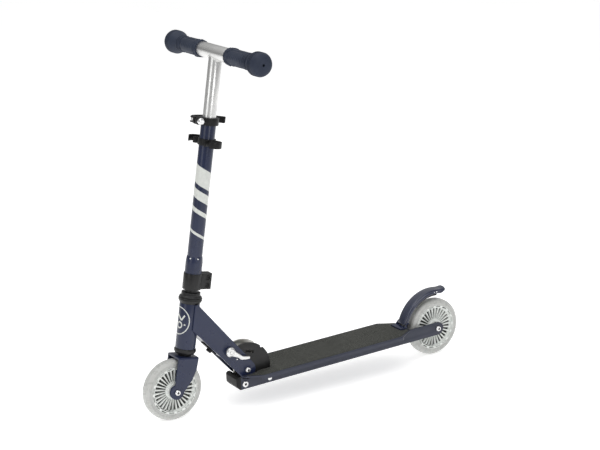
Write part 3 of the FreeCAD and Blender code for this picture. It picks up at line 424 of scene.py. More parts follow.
LONG_Z = (900.0, 900.0, 25.0)
LONG_X = (25.0, 900.0, 900.0)
RINGS = (700.0, 700.0, 700.0)
MATERIALS = {
    "navy_paint": painted("navy_gloss_coat", (0.006, 0.011, 0.036), (0.010, 0.016, 0.048),
                          (0.08, 0.09, 0.13), 0.30, 0.28),
    "dark_frame_paint": painted("blue_grey_coat", (0.022, 0.026, 0.043), (0.030, 0.034, 0.054),
                                (0.11, 0.12, 0.15), 0.42, 0.10),
    "black_steel": painted("satin_black_coat", (0.003, 0.003, 0.0035), (0.006, 0.006, 0.0065),
                           (0.08, 0.08, 0.08), 0.38, 0.12),
    "black_plastic": moulded("black_moulded", (0.004, 0.004, 0.0045), (0.008, 0.008, 0.0085), 0.42),
    "grip_rubber": moulded("grip_compound", (0.016, 0.022, 0.040), (0.028, 0.036, 0.058), 0.55, 900.0, 0.09),
    "grip_tape": grit_material(),
    "silver_tube": bare_metal("drawn_aluminium", (0.78, 0.78, 0.77), 0.26, LONG_Z),
    "tyre_urethane": urethane_material(),
    "hub_plastic": moulded("off_white_nylon", (0.66, 0.68, 0.66), (0.74, 0.76, 0.73), 0.38, 700.0, 0.03),
    "bright_steel": bare_metal("bright_plated_steel", (0.80, 0.80, 0.80), 0.16, RINGS, 0.006),
    "zinc_plate": bare_metal("yellow_zinc_plate", (0.62, 0.63, 0.62), 0.34, RINGS, 0.01, (0.56, 0.54, 0.47)),
    "bearing_steel": bare_metal("ground_steel", (0.55, 0.55, 0.56), 0.22, RINGS, 0.006),
}
SILVER_ACROSS = bare_metal("drawn_aluminium_bar", (0.78, 0.78, 0.77), 0.25, LONG_X)
VINYL = decal_material()
# Near-black nylon for the hub's core disc: painted shade seen deep in the slots.
PAINTED_SHADE_CORE = moulded("painted_shade_nylon", (0.03, 0.032, 0.03), (0.055, 0.057, 0.055), 0.7, 700.0, 0.03)
# The brake's coat lightens its edges to a pale blue-grey: partly wear, partly a painted highlight along the
# channel's creases.
BRAKE_GLOSS = painted("brake_gloss_coat", (0.005, 0.010, 0.033), (0.008, 0.014, 0.044), (0.22, 0.24, 0.30),
                      0.16, 1.0)
PAINTED_BLACK = ("steerer_tube", "brake_pin")


# ------------------------------------------------------------------ carried-over CAD nodes

def smooth_group():
    """Geometry nodes that shade smooth except over edges sharper than SMOOTH_DEGREES."""
    group = bpy.data.node_groups.new("smooth_by_angle", "GeometryNodeTree")
    group.interface.new_socket("Geometry", in_out="INPUT", socket_type="NodeSocketGeometry")
    group.interface.new_socket("Geometry", in_out="OUTPUT", socket_type="NodeSocketGeometry")
    source = group.nodes.new("NodeGroupInput")
    target = group.nodes.new("NodeGroupOutput")
    angle = group.nodes.new("GeometryNodeInputMeshEdgeAngle")
    compare = group.nodes.new("FunctionNodeCompare")
    compare.operation = "LESS_THAN"
    compare.inputs[1].default_value = math.radians(SMOOTH_DEGREES)
    faces = group.nodes.new("GeometryNodeSetShadeSmooth")
    edges = group.nodes.new("GeometryNodeSetShadeSmooth")
    edges.domain = "EDGE"
    link = group.links.new
    link(source.outputs[0], faces.inputs["Geometry"])
    link(faces.outputs[0], edges.inputs["Geometry"])
    link(angle.outputs["Unsigned Angle"], compare.inputs[0])
    link(compare.outputs[0], edges.inputs["Shade Smooth"])
    link(edges.outputs[0], target.inputs[0])
    return group


SMOOTH = smooth_group()
WELD_GAP = 0.01
FLAT_DEGREES = 0.6
BEVEL_DEGREES = 34.0
BEVELS = {
    "deck_plate": 0.5, "chassis_channel": 0.8, "nose_cap": 0.8, "quadrant_left": 0.4, "quadrant_right": 0.4,
    "neck_beam": 1.6, "fork": 1.0, "double_clamp": 0.8, "top_collar": 0.9, "clip_ring": 0.7, "top_lever": 1.1,
    "brake_bracket": 0.6, "neck_strip": 0.5, "column_tube": 0.4, "column_sleeve": 0.6, "head_tube": 0.6,
    "bar_sleeve": 0.6, "stem_tube": 0.4, "grip_tape": 0.25,
}
DEFAULT_BEVEL = 0.35


def soften(node, width):
    """Weld the imported mesh, merge its flat facets, round its edges a little and smooth the rest."""
    node.data.shade_smooth()
    weld = node.modifiers.new("weld", "WELD")
    weld.merge_threshold = WELD_GAP * MM
    flat = node.modifiers.new("flat", "DECIMATE")
    flat.decimate_type = "DISSOLVE"
    flat.angle_limit = math.radians(FLAT_DEGREES)
    bevel = node.modifiers.new("bevel", "BEVEL")
    bevel.width = width * MM
    bevel.segments = 3
    bevel.limit_method = "ANGLE"
    bevel.angle_limit = math.radians(BEVEL_DEGREES)
    bevel.harden_normals = False
    shade = node.modifiers.new("shade", "NODES")
    shade.node_group = SMOOTH


def dress_nodes():
    """Give every carried-over CAD node its material and its softened edges."""
    for row in frame["record"]["subparts"]:
        name = row["node"]
        node = frame["nodes"][name]
        along_bar = name in ("bar_sleeve", "left_handle_tube", "right_handle_tube")
        slot = "black_steel" if name in PAINTED_BLACK else row["material_slot"]
        material = SILVER_ACROSS if along_bar else MATERIALS[slot]
        node.data.materials.clear()
        node.data.materials.append(material)
        soften(node, BEVELS.get(name, DEFAULT_BEVEL))


dress_nodes()


# ------------------------------------------------------------------ wheels

HUB_RIM = 47.0
SLOTS = 30
ARCS = 16
ARC_SPREAD = math.radians(15)
ARC_STEPS = 9
TREAD = 60.0


def slot_outline(angle):
    """One tapered slot between two ribs of the hub: narrow near the boss, wide near the rim."""
    inner, outer, narrow, wide = 17.6, 40.4, 1.05, 2.65
    local = rounded([(inner, -narrow, 0.6), (outer, -wide, 1.2), (outer, wide, 1.2), (inner, narrow, 0.6)])
    c, s = math.cos(angle), math.sin(angle)
    return [(x * c - y * s, x * s + y * c) for x, y in local]


def arc_outline(angle, inner, outer):
    """An arc-shaped window about the axle."""
    turns = [angle - ARC_SPREAD / 2 + ARC_SPREAD * index / ARC_STEPS for index in range(ARC_STEPS + 1)]
    outside = [(outer * math.cos(turn), outer * math.sin(turn)) for turn in turns]
    inside = [(inner * math.cos(turn), inner * math.sin(turn)) for turn in reversed(turns)]
    return outside + inside


def tread_wave(height, angle, radius):
    """A hair-thin mould line round the middle of the tread."""
    depth, half_width = 0.12, 0.35
    return -depth * math.exp(-(height / half_width) ** 2) if radius > TREAD - 2 else 0.0


def build_tyre(side, place):
    """Cast tyre: rounded shoulders and a flat tread with close rings for its mould line."""
    tread = [(TREAD, height) for height in (-2.0, -0.6, -0.2, 0.2, 0.6, 2.0)]
    band = rounded([(47.1, -10.6, 0.4), (49.5, -11.6, 1.2), (53.0, -12.0, 2.0), (TREAD, -12.0, 8.6)] + tread
                   + [(TREAD, 12.0, 8.6), (53.0, 12.0, 2.0), (49.5, 11.6, 1.2), (47.1, 10.6, 0.4)], step=9.0)
    add_piece(side + "_cast_tyre", lathe_mesh(band, place, 128, tread_wave), side + "_wheel",
              "tyre_urethane", [side + "_tyre"])


def build_hub(side, place):
    """Moulded hub: a web of tapered slots, a rim with arc-shaped windows, a boss, and a core
    that closes the slots half-way through and is coloured near-black as painted shade in the slots."""
    body = side + "_wheel"
    slots = [slot_outline(2 * math.pi * index / SLOTS) for index in range(SLOTS)]
    arcs = [arc_outline(2 * math.pi * (index + 0.5) / ARCS, 43.7, 45.9) for index in range(ARCS)]
    web = plate_mesh(circle(43.0, 120), slots + [circle(13.5, 48)], 16.0, 0.9, place)
    rim = plate_mesh(circle(HUB_RIM, 120), arcs + [circle(42.4, 120)], 22.4, 0.35, place)
    boss = lathe_mesh(rounded([(11.0, -12.0), (14.6, -12.0, 1.0), (15.4, -6.6, 1.0), (17.2, -5.6),
                               (17.2, 5.6), (15.4, 6.6, 1.0), (14.6, 12.0, 1.0), (11.0, 12.0)]), place, 72)
    add_piece(side + "_slotted_hub", joined(web, rim, boss), body, "hub_plastic", [side + "_hub"])

    # The core disc is coloured near-black: painted shade for the depths of the slots.
    core = plate_mesh(circle(42.0, 96), [circle(16.8, 48)], 8.0, 0.2, place)
    add_piece(side + "_web_core_painted_shade", core, body, "hub_plastic", material=PAINTED_SHADE_CORE)


def build_bearings(side):
    """Inner and outer races with a shield between them, at both faces of the hub."""
    body = side + "_wheel"
    shield = rounded([(6.2, 9.5), (9.4, 9.5), (9.4, 11.3, 0.3), (6.2, 11.3, 0.3)])
    outer_race = rounded([(9.4, 5.0), (11.0, 5.0), (11.0, 11.9, 0.4), (9.4, 11.9, 0.3)])
    inner_race = rounded([(4.1, 5.0), (6.2, 5.0), (6.2, 12.0, 0.3), (4.1, 12.0, 0.3)])
    shields, races = [], []
    for sign in (-1, 1):
        face = across(AXLES[side], sign)
        shields.append(lathe_mesh(shield, face, 48))
        races.append(lathe_mesh(outer_race, face, 48))
        races.append(lathe_mesh(inner_race, face, 48))
    add_piece(side + "_bearing_races", joined(*races), body, "bearing_steel", [side + "_bearings"])
    add_piece(side + "_bearing_shields", joined(*shields), body, "black_plastic")


def build_wheel(side):
    place = across(AXLES[side])
    build_tyre(side, place)
    build_hub(side, place)
    build_bearings(side)


# ------------------------------------------------------------------ grips

def smooth_step(low, high, value):
    t = min(1.0, max(0.0, (value - low) / (high - low)))
    return t * t * (3 - 2 * t)


PANELS = 3
PANEL_FROM, PANEL_TO = 60.5, 113.0
PANEL_RAMP = 1.6
PANEL_WIDTH = 2 * math.pi * 15.0 / PANELS
BARS = 7
BARS_FROM = 66.0
BAR_PITCH = 6.2
BAR_SLANT = 0.35


def panel_turn(angle):
    """How far across its own panel an angle lies, from 0 to 1."""
    return (angle / (2 * math.pi) * PANELS) % 1.0


def panel(height, angle):
    """Three raised palm panels round the barrel, separated by narrow furrows."""
    rise = smooth_step(PANEL_FROM, PANEL_FROM + PANEL_RAMP, height)
    fall = smooth_step(PANEL_TO - PANEL_RAMP, PANEL_TO, height)
    turn = panel_turn(angle)
    return (rise - fall) * smooth_step(1.0, 2.4, min(turn, 1.0 - turn) * PANEL_WIDTH)


def slanted_bars(height, angle):
    """A row of raised slanted bars along each panel: a plain pattern in place of lettering."""
    across_panel = (panel_turn(angle) - 0.5) * PANEL_WIDTH
    inside = 1.0 - smooth_step(3.2, 3.9, abs(across_panel))
    along_panel = (height + across_panel * BAR_SLANT - BARS_FROM) / BAR_PITCH
    if not 0.0 <= along_panel < BARS:
        return 0.0
    from_middle = abs(along_panel % 1.0 - 0.5) * BAR_PITCH
    return inside * (1.0 - smooth_step(1.1, 1.7, from_middle))


def petals(height, angle):
    """Crown of rounded tongues that runs from the flange on to the barrel."""
    reach = 3.0 + 7.0 * abs(math.cos(3 * angle))
    return 2.0 * (1.0 - smooth_step(reach - 1.4, reach, height - 58.0))


def grip_wave(height, angle, radius):
    """All the relief on a grip's skin; the bore stays round because its radius is smaller."""
    if PANEL_FROM <= height <= PANEL_TO and radius > 13:
        return panel(height, angle) + 0.55 * slanted_bars(height, angle) + petals(height, angle)
    if 57.5 < height < PANEL_FROM:
        return petals(height, angle)
    if 52.0 < height < 57.5 and radius > 15.8:
        return 0.30 * math.cos(18 * angle)
    return 0.0


def grip_profile():
    """Flange, barrel, three finger rings, then the knob with shallow grooves and a drilled end."""
    points = [(11.1, 52.4), (15.4, 52.4, 0.6), (16.3, 53.4, 0.6), (16.3, 56.6, 0.8), (14.7, 58.2, 0.8)]
    barrel_from, barrel_to, ring_spacing = 59.5, 114.5, 0.75
    height = barrel_from
    while height < barrel_to:
        swell = 0.25 * math.sin(math.pi * (height - barrel_from) / (barrel_to - barrel_from))
        points.append((14.3 + swell, height))
        height += ring_spacing
    for start in (116.0, 121.2, 126.4):
        crest = 15.9 + (start - 116) * 0.05
        points += [(14.2, start, 0.5), (crest, start + 0.9, 0.8), (crest, start + 3.1, 0.8),
                   (14.2 + (start - 116) * 0.04, start + 4.0, 0.5)]
    points += [(15.0, 133.5, 3.0), (20.6, 143.5, 3.0), (22.0, 147.0, 1.5)]
    for start in (148.6, 152.6, 156.6):
        points += [(22.3, start), (21.0, start + 0.5), (21.0, start + 1.9), (22.3, start + 2.4)]
    points += [(22.3, 161.5, 3.0), (19.8, 167.2, 4.0), (15.0, 170.2, 6.0), (8.0, 171.0, 2.0),
               (2.4, 171.0, 0.5), (2.2, 163.0), (11.1, 161.5)]
    return rounded(points, step=15.0)


def build_grip(side, sign):
    middle = shifted(STEER, 0, 0, BAR_HEIGHT).translation
    place = along(middle, (sign, 0, 0), STEER.to_3x3() @ Vector((0, 1, 0)))
    add_piece(side + "_moulded_grip", lathe_mesh(grip_profile(), place, 132, grip_wave), side + "_handle",
              "grip_rubber", [side + "_grip"], 28.0)


# ------------------------------------------------------------------ printed marks on the column and head tube

def tube_patch(place, radius, rows, skin=0.14):
    """Thin closed skin on a tube. rows is a grid of (angle, height) pairs, one list per angle step."""
    outer, inner = [], []
    for row in rows:
        for shell, reach in ((outer, radius + skin), (inner, radius - 0.05)):
            shell.append([place @ (Vector((reach * math.cos(angle), reach * math.sin(angle), height)) * MM)
                          for angle, height in row])
    return loft_mesh([top + bottom[::-1] for top, bottom in zip(outer, inner)])


COLUMN_RADIUS = 14.3
HEAD_RADIUS = 19.45
STRIPE_DROP = 42.8
STRIPE_TURN = 0.988
STRIPES = ((494.8, 460.1), (450.8, 433.3), (416.0, 407.6), (372.6, 367.2))


def build_stripes():
    """Four helical bands on the column: (top, bottom) heights at the front, seam at the back."""
    bands = []
    count = 64
    for top, bottom in STRIPES:
        rows = []
        for index in range(count + 1):
            turn = STRIPE_TURN * (index / count - 0.5)
            fall = STRIPE_DROP * turn
            angle = -math.pi / 2 + 2 * math.pi * turn
            levels = max(2, round((top - bottom) / 4))
            rows.append([(angle, bottom - fall + (top - bottom) * k / levels) for k in range(levels + 1)])
        bands.append(tube_patch(STEER, COLUMN_RADIUS, rows))
    add_piece("column_stripes", joined(*bands), "column", "hub_plastic", material=VINYL)


BADGE_HEIGHT = 194.0


def flat_patch(points_in, points_out):
    """Rows for tube_patch from two matching lines of badge points (across, up), in millimetres."""
    rows = []
    for first, second in zip(points_in, points_out):
        row = []
        for k in range(3):
            x = first[0] + (second[0] - first[0]) * k / 2
            y = first[1] + (second[1] - first[1]) * k / 2
            row.append((-math.pi / 2 + x / HEAD_RADIUS, BADGE_HEIGHT + y))
        rows.append(row)
    return rows


def ellipse_line(wide, tall, count=60, centre=(0.0, 0.0)):
    """Points once round an ellipse, stopping a hair short so that the ends don't coincide."""
    points = []
    for index in range(count + 1):
        turn = math.radians(359.9 * index / count)
        points.append((centre[0] + wide * math.cos(turn), centre[1] + tall * math.sin(turn)))
    return points


def straight_stroke(start, stop, width):
    """One straight line of the badge's mark, in steps short enough to follow the tube."""
    count = 6
    run = Vector(stop) - Vector(start)
    side = Vector((-run.y, run.x)).normalized() * (width / 2)
    spots = [Vector(start) + run * (k / count) for k in range(count + 1)]
    return flat_patch([tuple(p - side) for p in spots], [tuple(p + side) for p in spots])


def build_badge():
    """A printed ring with a plain wheel-and-arrow mark on the front of the head tube."""
    wheel_at = (3.0, -8.0)
    parts = [flat_patch(ellipse_line(22.4, 25.2), ellipse_line(24.2, 27.0)),
             flat_patch(ellipse_line(4.4, 4.4, 30, wheel_at), ellipse_line(7.0, 7.0, 30, wheel_at)),
             straight_stroke((-12.0, 1.0), (-3.0, 11.5), 3.2), straight_stroke((-3.0, 11.5), (7.0, 2.0), 3.2),
             straight_stroke((7.0, 2.0), (13.5, 12.0), 3.2),
             straight_stroke((-14.0, -9.0), (-7.5, -9.0), 2.6),
             straight_stroke((13.0, -6.0), (16.5, -6.0), 2.6)]
    meshes = [tube_patch(STEER, HEAD_RADIUS, rows, 0.12) for rows in parts]
    add_piece("head_badge", joined(*meshes), "neck", "hub_plastic", material=VINYL)


# ------------------------------------------------------------------ weld beads

def bead(path, size):
    """Stacked-coin weld bead along a closed loop of world points."""
    pitch = 5
    return tube_mesh(path, lambda index: size * (1.0 + 0.16 * math.sin(2 * math.pi * index / pitch)), True, 8)


def on_head_tube(x, z):
    """Where a line up the neck at (x, z) of the neck frame meets the head tube."""
    start = STEER.inverted() @ (NECK @ (Vector((x, 0, z)) * MM))
    run = (STEER.inverted().to_3x3() @ NECK.to_3x3()) @ Vector((0, 1, 0))
    a = run.x ** 2 + run.y ** 2
    b = 2 * (start.x * run.x + start.y * run.y)
    c = start.x ** 2 + start.y ** 2 - (HEAD_RADIUS * MM) ** 2
    root = b * b - 4 * a * c
    if root < 0:
        return None
    return STEER @ (start + run * ((-b - math.sqrt(root)) / (2 * a)))


def build_neck_weld():
    """Weld bead round the neck's end, where it meets the head tube."""
    spacing = 0.8
    seam = []
    corners = rounded([(-18.8, -19.6, 3.0), (18.8, -19.6, 3.0), (18.8, 19.6, 3.0), (-18.8, 19.6, 3.0)])
    loop = []
    for first, second in zip(corners, corners[1:] + corners[:1]):
        steps = max(1, round(math.dist(first, second) / spacing))
        for k in range(steps):
            loop.append((first[0] + (second[0] - first[0]) * k / steps,
                         first[1] + (second[1] - first[1]) * k / steps))
    for x, z in loop:
        spot = on_head_tube(x, z)
        if spot is not None:
            seam.append(spot)
    add_piece("neck_weld", bead(seam, 1.5), "neck", "dark_frame_paint")


def build_stem_weld():
    """Weld bead round the stem, along the underside of the handlebar sleeve."""
    bar = shifted(STEER, 0, 0, BAR_HEIGHT)
    stem_radius, sleeve_radius = 12.9, 14.2
    joint = []
    for x, y in circle(stem_radius, 110):
        joint.append(bar @ (Vector((x, y, -math.sqrt(sleeve_radius ** 2 - y * y))) * MM))
    add_piece("stem_weld", bead(joint, 1.1), "stem", "silver_tube")


# ------------------------------------------------------------------ rear brake

BRAKE_RADIUS = 82.0
BRAKE_FROM, BRAKE_TO = 165.0, 82.0
BRAKE_DEPTH = 8.0
TIP_LENGTH = 15.6
TIP_LIFT = 24.0
RIVET_RADIUS = 77.6


def brake_section(depth):
    """Half-round pressed channel: (across, out from BRAKE_RADIUS) points, closed loop."""
    wall = [(14.0, -depth), (14.0, -2.9 - depth * 0.22), (13.6, -2.4 - depth * 0.19),
            (12.2, -2.2 - depth * 0.16)]
    crown = rounded([(-11.6, -2.9), (-11.4, 0.0, 3.0), (0.0, 0.5, 12.0), (11.4, 0.0, 3.0),
                     (11.6, -2.9)], closed=False)
    outside = [(-x, y) for x, y in wall] + crown + wall[::-1]
    inside = [(12.2, -depth), (10.2, -3.4), (8.6, -2.1), (0.0, -1.8), (-8.6, -2.1), (-10.2, -3.4),
              (-12.2, -depth)]
    return outside + inside


def brake_stations():
    """Along the brake: (point, outward direction, channel depth), round the wheel and then up the tip."""
    axle = AXLES["rear"]
    stations = []
    count = 44
    for index in range(count + 1):
        angle = math.radians(BRAKE_FROM + (BRAKE_TO - BRAKE_FROM) * index / count)
        out = Vector((0, math.cos(angle), math.sin(angle)))
        stations.append((axle + out * (BRAKE_RADIUS * MM), out, BRAKE_DEPTH))
    spot, out, _ = stations[-1]
    heading = math.radians(BRAKE_TO - 90)
    tip_steps = 12
    for index in range(1, tip_steps + 1):
        t = index / tip_steps
        heading_now = heading + math.radians(TIP_LIFT) * smooth_step(0.0, 1.0, t)
        ahead = Vector((0, math.cos(heading_now), math.sin(heading_now)))
        spot = spot + ahead * (TIP_LENGTH / tip_steps * MM)
        out = Vector((0, -math.sin(heading_now), math.cos(heading_now)))
        stations.append((spot, out, BRAKE_DEPTH - 4.2 * smooth_step(0.1, 0.9, t)))
    return stations


def build_brake_shell():
    """Curved foot brake: a pressed channel that hugs the wheel and flicks up at its tip."""
    stations = brake_stations()
    sections = []
    for index, (spot, out, depth) in enumerate(stations):
        from_tip = len(stations) - 1 - index
        narrow = 1.0 - 0.30 * (1 - smooth_step(0, 5, from_tip)) ** 2
        rows = brake_section(depth)
        sections.append([spot + (X_AXIS * (x * narrow) + out * y) * MM for x, y in rows])
    lugs = []
    for sign in (-1, 1):
        place = across(BRAKE_PIN + X_AXIS * (sign * 12.9 * MM), sign)
        lugs.append(plate_mesh(circle(5.2, 36), [circle(2.6, 24)], 2.2, 0.5, place))
    add_piece("brake_shell", joined(loft_mesh(sections), *lugs), "brake", "navy_paint", ["brake_lever"],
              30.0, BRAKE_GLOSS)


def build_brake_rivets():
    """Two domed rivets on each cheek of the brake, over the wheel."""
    rivets = []
    for sign in (-1, 1):
        for degrees, size in ((88.0, 1.5), (92.5, 1.1)):
            angle = math.radians(degrees)
            out = Vector((sign * 13.6, RIVET_RADIUS * math.cos(angle), RIVET_RADIUS * math.sin(angle)))
            turns = (math.pi / 2, 1.1, 0.6, 0.2)
            dome = [(size * math.sin(turn), 0.4 + size * 0.6 * math.cos(turn)) for turn in turns]
            profile = [(0, 0)] + dome + [(0, 0.4 + size * 0.6)]
            rivets.append(lathe_mesh(profile, across(AXLES["rear"] + out * MM, sign), 20))
    add_piece("brake_rivets", joined(*rivets), "brake", "bright_steel")


def build_return_spring():
    """Coil spring round the brake's hinge pin."""
    turns, coil_radius, wire, length = 6.0, 3.7, 0.7, 12.0
    path = []
    steps = 132
    pin = across(BRAKE_PIN)
    for index in range(steps + 1):
        turn = 2 * math.pi * turns * index / steps
        height = length * (index / steps - 0.5)
        path.append(pin @ (Vector((coil_radius * math.cos(turn), coil_radius * math.sin(turn), height)) * MM))
    add_piece("brake_return_spring", tube_mesh(path, lambda index: wire, False, 8), "brake", "bright_steel",
              ["brake_spring"])


# ------------------------------------------------------------------ latch lever and small hardware

def build_latch_lever():
    """Cast aluminium cam lever: a domed round hub and a waisted arm that sweeps back to a turned-up tip."""
    spot = LATCH_PIN + X_AXIS * (23.6 * MM)
    place = axes_matrix(spot, Vector(NECK.col[1][:3]), Vector(NECK.col[2][:3]), X_AXIS)
    arm = rounded([(5.0, 7.4, 1.0), (-3.0, 7.6, 3.0), (-11.0, 2.4, 5.0), (-20.0, -2.2, 12.0),
                   (-30.0, -4.2, 8.0), (-38.5, -11.8, 6.0), (-43.4, -17.0, 2.4), (-40.2, -21.8, 2.4),
                   (-35.0, -17.4, 5.0),
                   (-27.0, -11.4, 8.0), (-17.0, -9.6, 10.0), (-8.0, -7.6, 5.0), (0.0, -9.0, 3.0),
                   (5.0, -7.6, 1.0)], step=9.0)
    blade = plate_mesh(arm, [], 4.6, 1.5, shifted(place, 0, 0, 3.9))
    dome = lathe_mesh(rounded([(0, 0.0), (9.4, 0.0, 0.4), (9.5, 5.0, 1.6), (6.6, 7.6, 1.2), (4.6, 7.6, 0.6),
                               (4.2, 6.6, 0.3), (0, 6.6)], closed=False), place, 64)
    socket = plate_mesh(circle(2.9, 6), [], 1.6, 0.25, shifted(place, 0, 0, 6.9))
    add_piece("latch_cam_lever", joined(blade, dome, socket), "latch_handle", "silver_tube", ["latch_lever"])


AXLE_SHANK = 3.98
BOLT_HEAD = 5.6


def socket_screw(node, body, height):
    """Button-head bolt in place of a plain one: domed plated head with a drive socket, a black hexagon in it as
    painted shade.
    """
    low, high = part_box(node)
    place = across(Vector((high.x, (low.y + high.y) / 2, (low.z + high.z) / 2)))
    length = (high.x - low.x) / MM
    drive = 0.42 * BOLT_HEAD
    head = rounded([(0, -length), (AXLE_SHANK, -length, 0.4), (AXLE_SHANK, -height), (BOLT_HEAD, -height),
                    (BOLT_HEAD, -height * 0.62, 0.5), (BOLT_HEAD * 0.82, -0.2, 1.2), (drive, 0.0, 0.3),
                    (drive, -height * 0.5), (0, -height * 0.5)], closed=False)
    add_piece(node + "_turned", lathe_mesh(head, place, 48), body, "bright_steel", [node])
    # Black hexagon in the socket's hollow: painted shade for the recess.
    socket = plate_mesh(circle(drive, 6), [], 0.6, 0.08, shifted(place, 0, 0, -0.9))
    add_piece(node + "_socket", socket, body, "black_steel")


def dome_mesh(place):
    """Small domed fastening that stands on a face, its foot sunk a little into it."""
    radius, height, foot = 1.5, 0.8, -0.6
    count = 7
    points = [(0, foot), (radius, foot)]
    for index in range(count + 1):
        turn = math.pi / 2 * index / count
        points.append((radius * math.cos(turn) if index < count else 0, height * math.sin(turn)))
    return lathe_mesh(points, place, 28)


def facing(place, radius, angle, height):
    """Frame standing on a tube's skin, its z pointing out."""
    out = Vector((math.cos(angle), math.sin(angle), 0))
    spot = place @ ((out * radius + Vector((0, 0, height))) * MM)
    return along(spot, place.to_3x3() @ out, place.to_3x3() @ Vector((0, 0, 1)))


def build_stop_rivets():
    """Four rivets round the top of the column's reinforcing sleeve."""
    stops = [facing(STEER, 15.5, math.radians(degrees), 315.8) for degrees in (-60, -4, 120, 176)]
    add_piece("column_stop_rivets", joined(*[dome_mesh(stop) for stop in stops]), "column", "bright_steel")


def build_swaged_sleeve():
    """Reinforcing sleeve at the column's foot, drawn in at its top."""
    swaged = rounded([(14.25, 255.6), (16.2, 255.6, 0.4), (16.2, 307.5, 6.0), (15.7, 314.0, 6.0),
                      (14.6, 320.0, 2.0), (14.25, 320.0)])
    add_piece("column_swaged_sleeve", lathe_mesh(swaged, STEER, 96), "column", "navy_paint",
              ["column_sleeve"])


def build_neck_screws():
    """A screw in each side of the neck."""
    screws = []
    for sign in (-1, 1):
        spot = NECK @ (Vector((sign * 22.0, 34.0, 0)) * MM)
        screws.append(dome_mesh(across(spot, sign)))
    add_piece("neck_screws", joined(*screws), "neck", "bright_steel")


def build_top_lever():
    """Bowed collar lever that wraps round the column, with a forked knuckle at its hinge."""
    hinge = shifted(STEER, -17.0, -23.5, 576.0)
    middle_x, middle_y, outer, inner = 45.0, 28.5, 62.0, 56.6
    start, bend, steps = 207.0, 68.5, 20
    sweep = [math.radians(start - bend * index / steps) for index in range(steps + 1)]
    outside = [(middle_x + outer * math.cos(turn), middle_y + outer * math.sin(turn)) for turn in sweep]
    inside = [(middle_x + inner * math.cos(turn), middle_y + inner * math.sin(turn)) for turn in sweep[::-1]]
    blade = plate_mesh(outside + inside, [], 12.6, 1.2, hinge)
    eye, bore = circle(6.2, 40), circle(2.1, 20)
    knuckles = [plate_mesh(eye, [bore], 2.2, 0.5, shifted(hinge, 0, 0, height)) for height in (-4.4, 4.4)]
    add_piece("collar_cam_lever", joined(blade, *knuckles), "collar_handle", "black_plastic", ["top_lever"])


def build_chassis_socket_shade():
    """Drive socket in the left face of the front chassis bolt, a black hexagon as painted shade."""
    sunk, bolt_y, bolt_z = 1.2, -159.6, 43.9
    spot = Vector((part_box("chassis_bolts")[1].x - sunk * MM, bolt_y * MM, bolt_z * MM))
    # The black hexagon is painted shade for the socket's recess.
    add_piece("chassis_bolt_socket_shade", plate_mesh(circle(2.9, 6), [], 0.8, 0.08, across(spot)), "deck",
              "black_steel")


def build_headset():
    """Turned headset pieces: pressed cups with a sealing lip, and a stepped lock nut."""
    lower = [(16.5, 129.4), (18.4, 129.4, 0.6), (21.1, 133.6, 1.0), (21.1, 137.2, 0.6), (20.3, 138.2),
             (20.3, 138.6), (19.9, 139.6, 0.4), (16.5, 139.6)]
    upper = [(16.5, 228.3), (19.6, 228.3, 0.4), (20.4, 230.2, 1.0), (22.6, 234.2, 1.2), (22.6, 235.8, 0.3),
             (22.1, 236.2), (22.1, 236.7), (22.7, 237.1, 0.3), (22.7, 238.8, 0.5), (16.5, 238.8)]
    nut = [(12.75, 239.2), (21.4, 239.2, 0.4), (21.4, 241.4, 0.8), (19.0, 243.0, 0.8), (18.2, 243.8, 0.6),
           (18.2, 246.4, 0.3), (17.7, 246.8), (17.7, 247.2), (18.2, 247.6, 0.3), (18.2, 249.4, 0.6),
           (12.75, 250.0)]
    for name, profile, body, node in (("lower_cup_turned", lower, "neck", "lower_headset_cup"),
                                      ("upper_cup_turned", upper, "neck", "upper_headset_cup"),
                                      ("lock_nut_turned", nut, "column", "headset_nut")):
        add_piece(name, lathe_mesh(rounded(profile), STEER, 88), body, "black_steel", [node])


for wheel_side in ("front", "rear"):
    build_wheel(wheel_side)
build_grip("left", 1)
build_grip("right", -1)
build_stripes()
build_badge()
build_neck_weld()
build_stem_weld()
build_brake_shell()
build_brake_rivets()
build_return_spring()
build_latch_lever()
build_stop_rivets()
build_swaged_sleeve()
build_neck_screws()
build_headset()
build_top_lever()
build_chassis_socket_shade()
socket_screw("front_axle_bolt", "column", 3.6)
socket_screw("rear_axle_bolt", "deck", 3.6)
socket_screw("pivot_bolt", "deck", 3.8)


# ------------------------------------------------------------------ stage, light and camera

FLOOR_GLOW = 0.42
FLOOR_HALF = 6.0
FLOOR_DROP = 0.0004


def floor_material():
    """Matt off-white that glows weakly, so that the ground comes out nearly white."""
    shader = Shader("pale_floor")
    tone = shader.level(shader.noise(2.0, 3.0), 0.3, 0.7, 0.0, 1.0)
    shader.set(Base_Color=shader.mix(tone, (0.90, 0.90, 0.90), (0.92, 0.92, 0.92)), Roughness=0.9,
               Emission_Strength=FLOOR_GLOW)
    return shader.material


def add_floor():
    """Plain pale floor, a hair below the wheels."""
    mesh = bmesh.new()
    sides = ((-1, -1), (1, -1), (1, 1), (-1, 1))
    mesh.faces.new([mesh.verts.new((x * FLOOR_HALF, y * FLOOR_HALF, -FLOOR_DROP)) for x, y in sides])
    data = bpy.data.meshes.new("floor")
    mesh.to_mesh(data)
    mesh.free()
    data.materials.append(floor_material())
    floor = bpy.data.objects.new("floor", data)
    bpy.context.scene.collection.objects.link(floor)


def add_light(name, place, target, size, power):
    """Rectangular studio light at a place, turned towards its target."""
    lamp = bpy.data.lights.new(name, "AREA")
    lamp.shape = "RECTANGLE"
    lamp.size, lamp.size_y = size
    lamp.energy = power
    holder = bpy.data.objects.new(name, lamp)
    holder.location = place
    holder.rotation_euler = (Vector(place) - Vector(target)).to_track_quat("Z", "Y").to_euler()
    bpy.context.scene.collection.objects.link(holder)


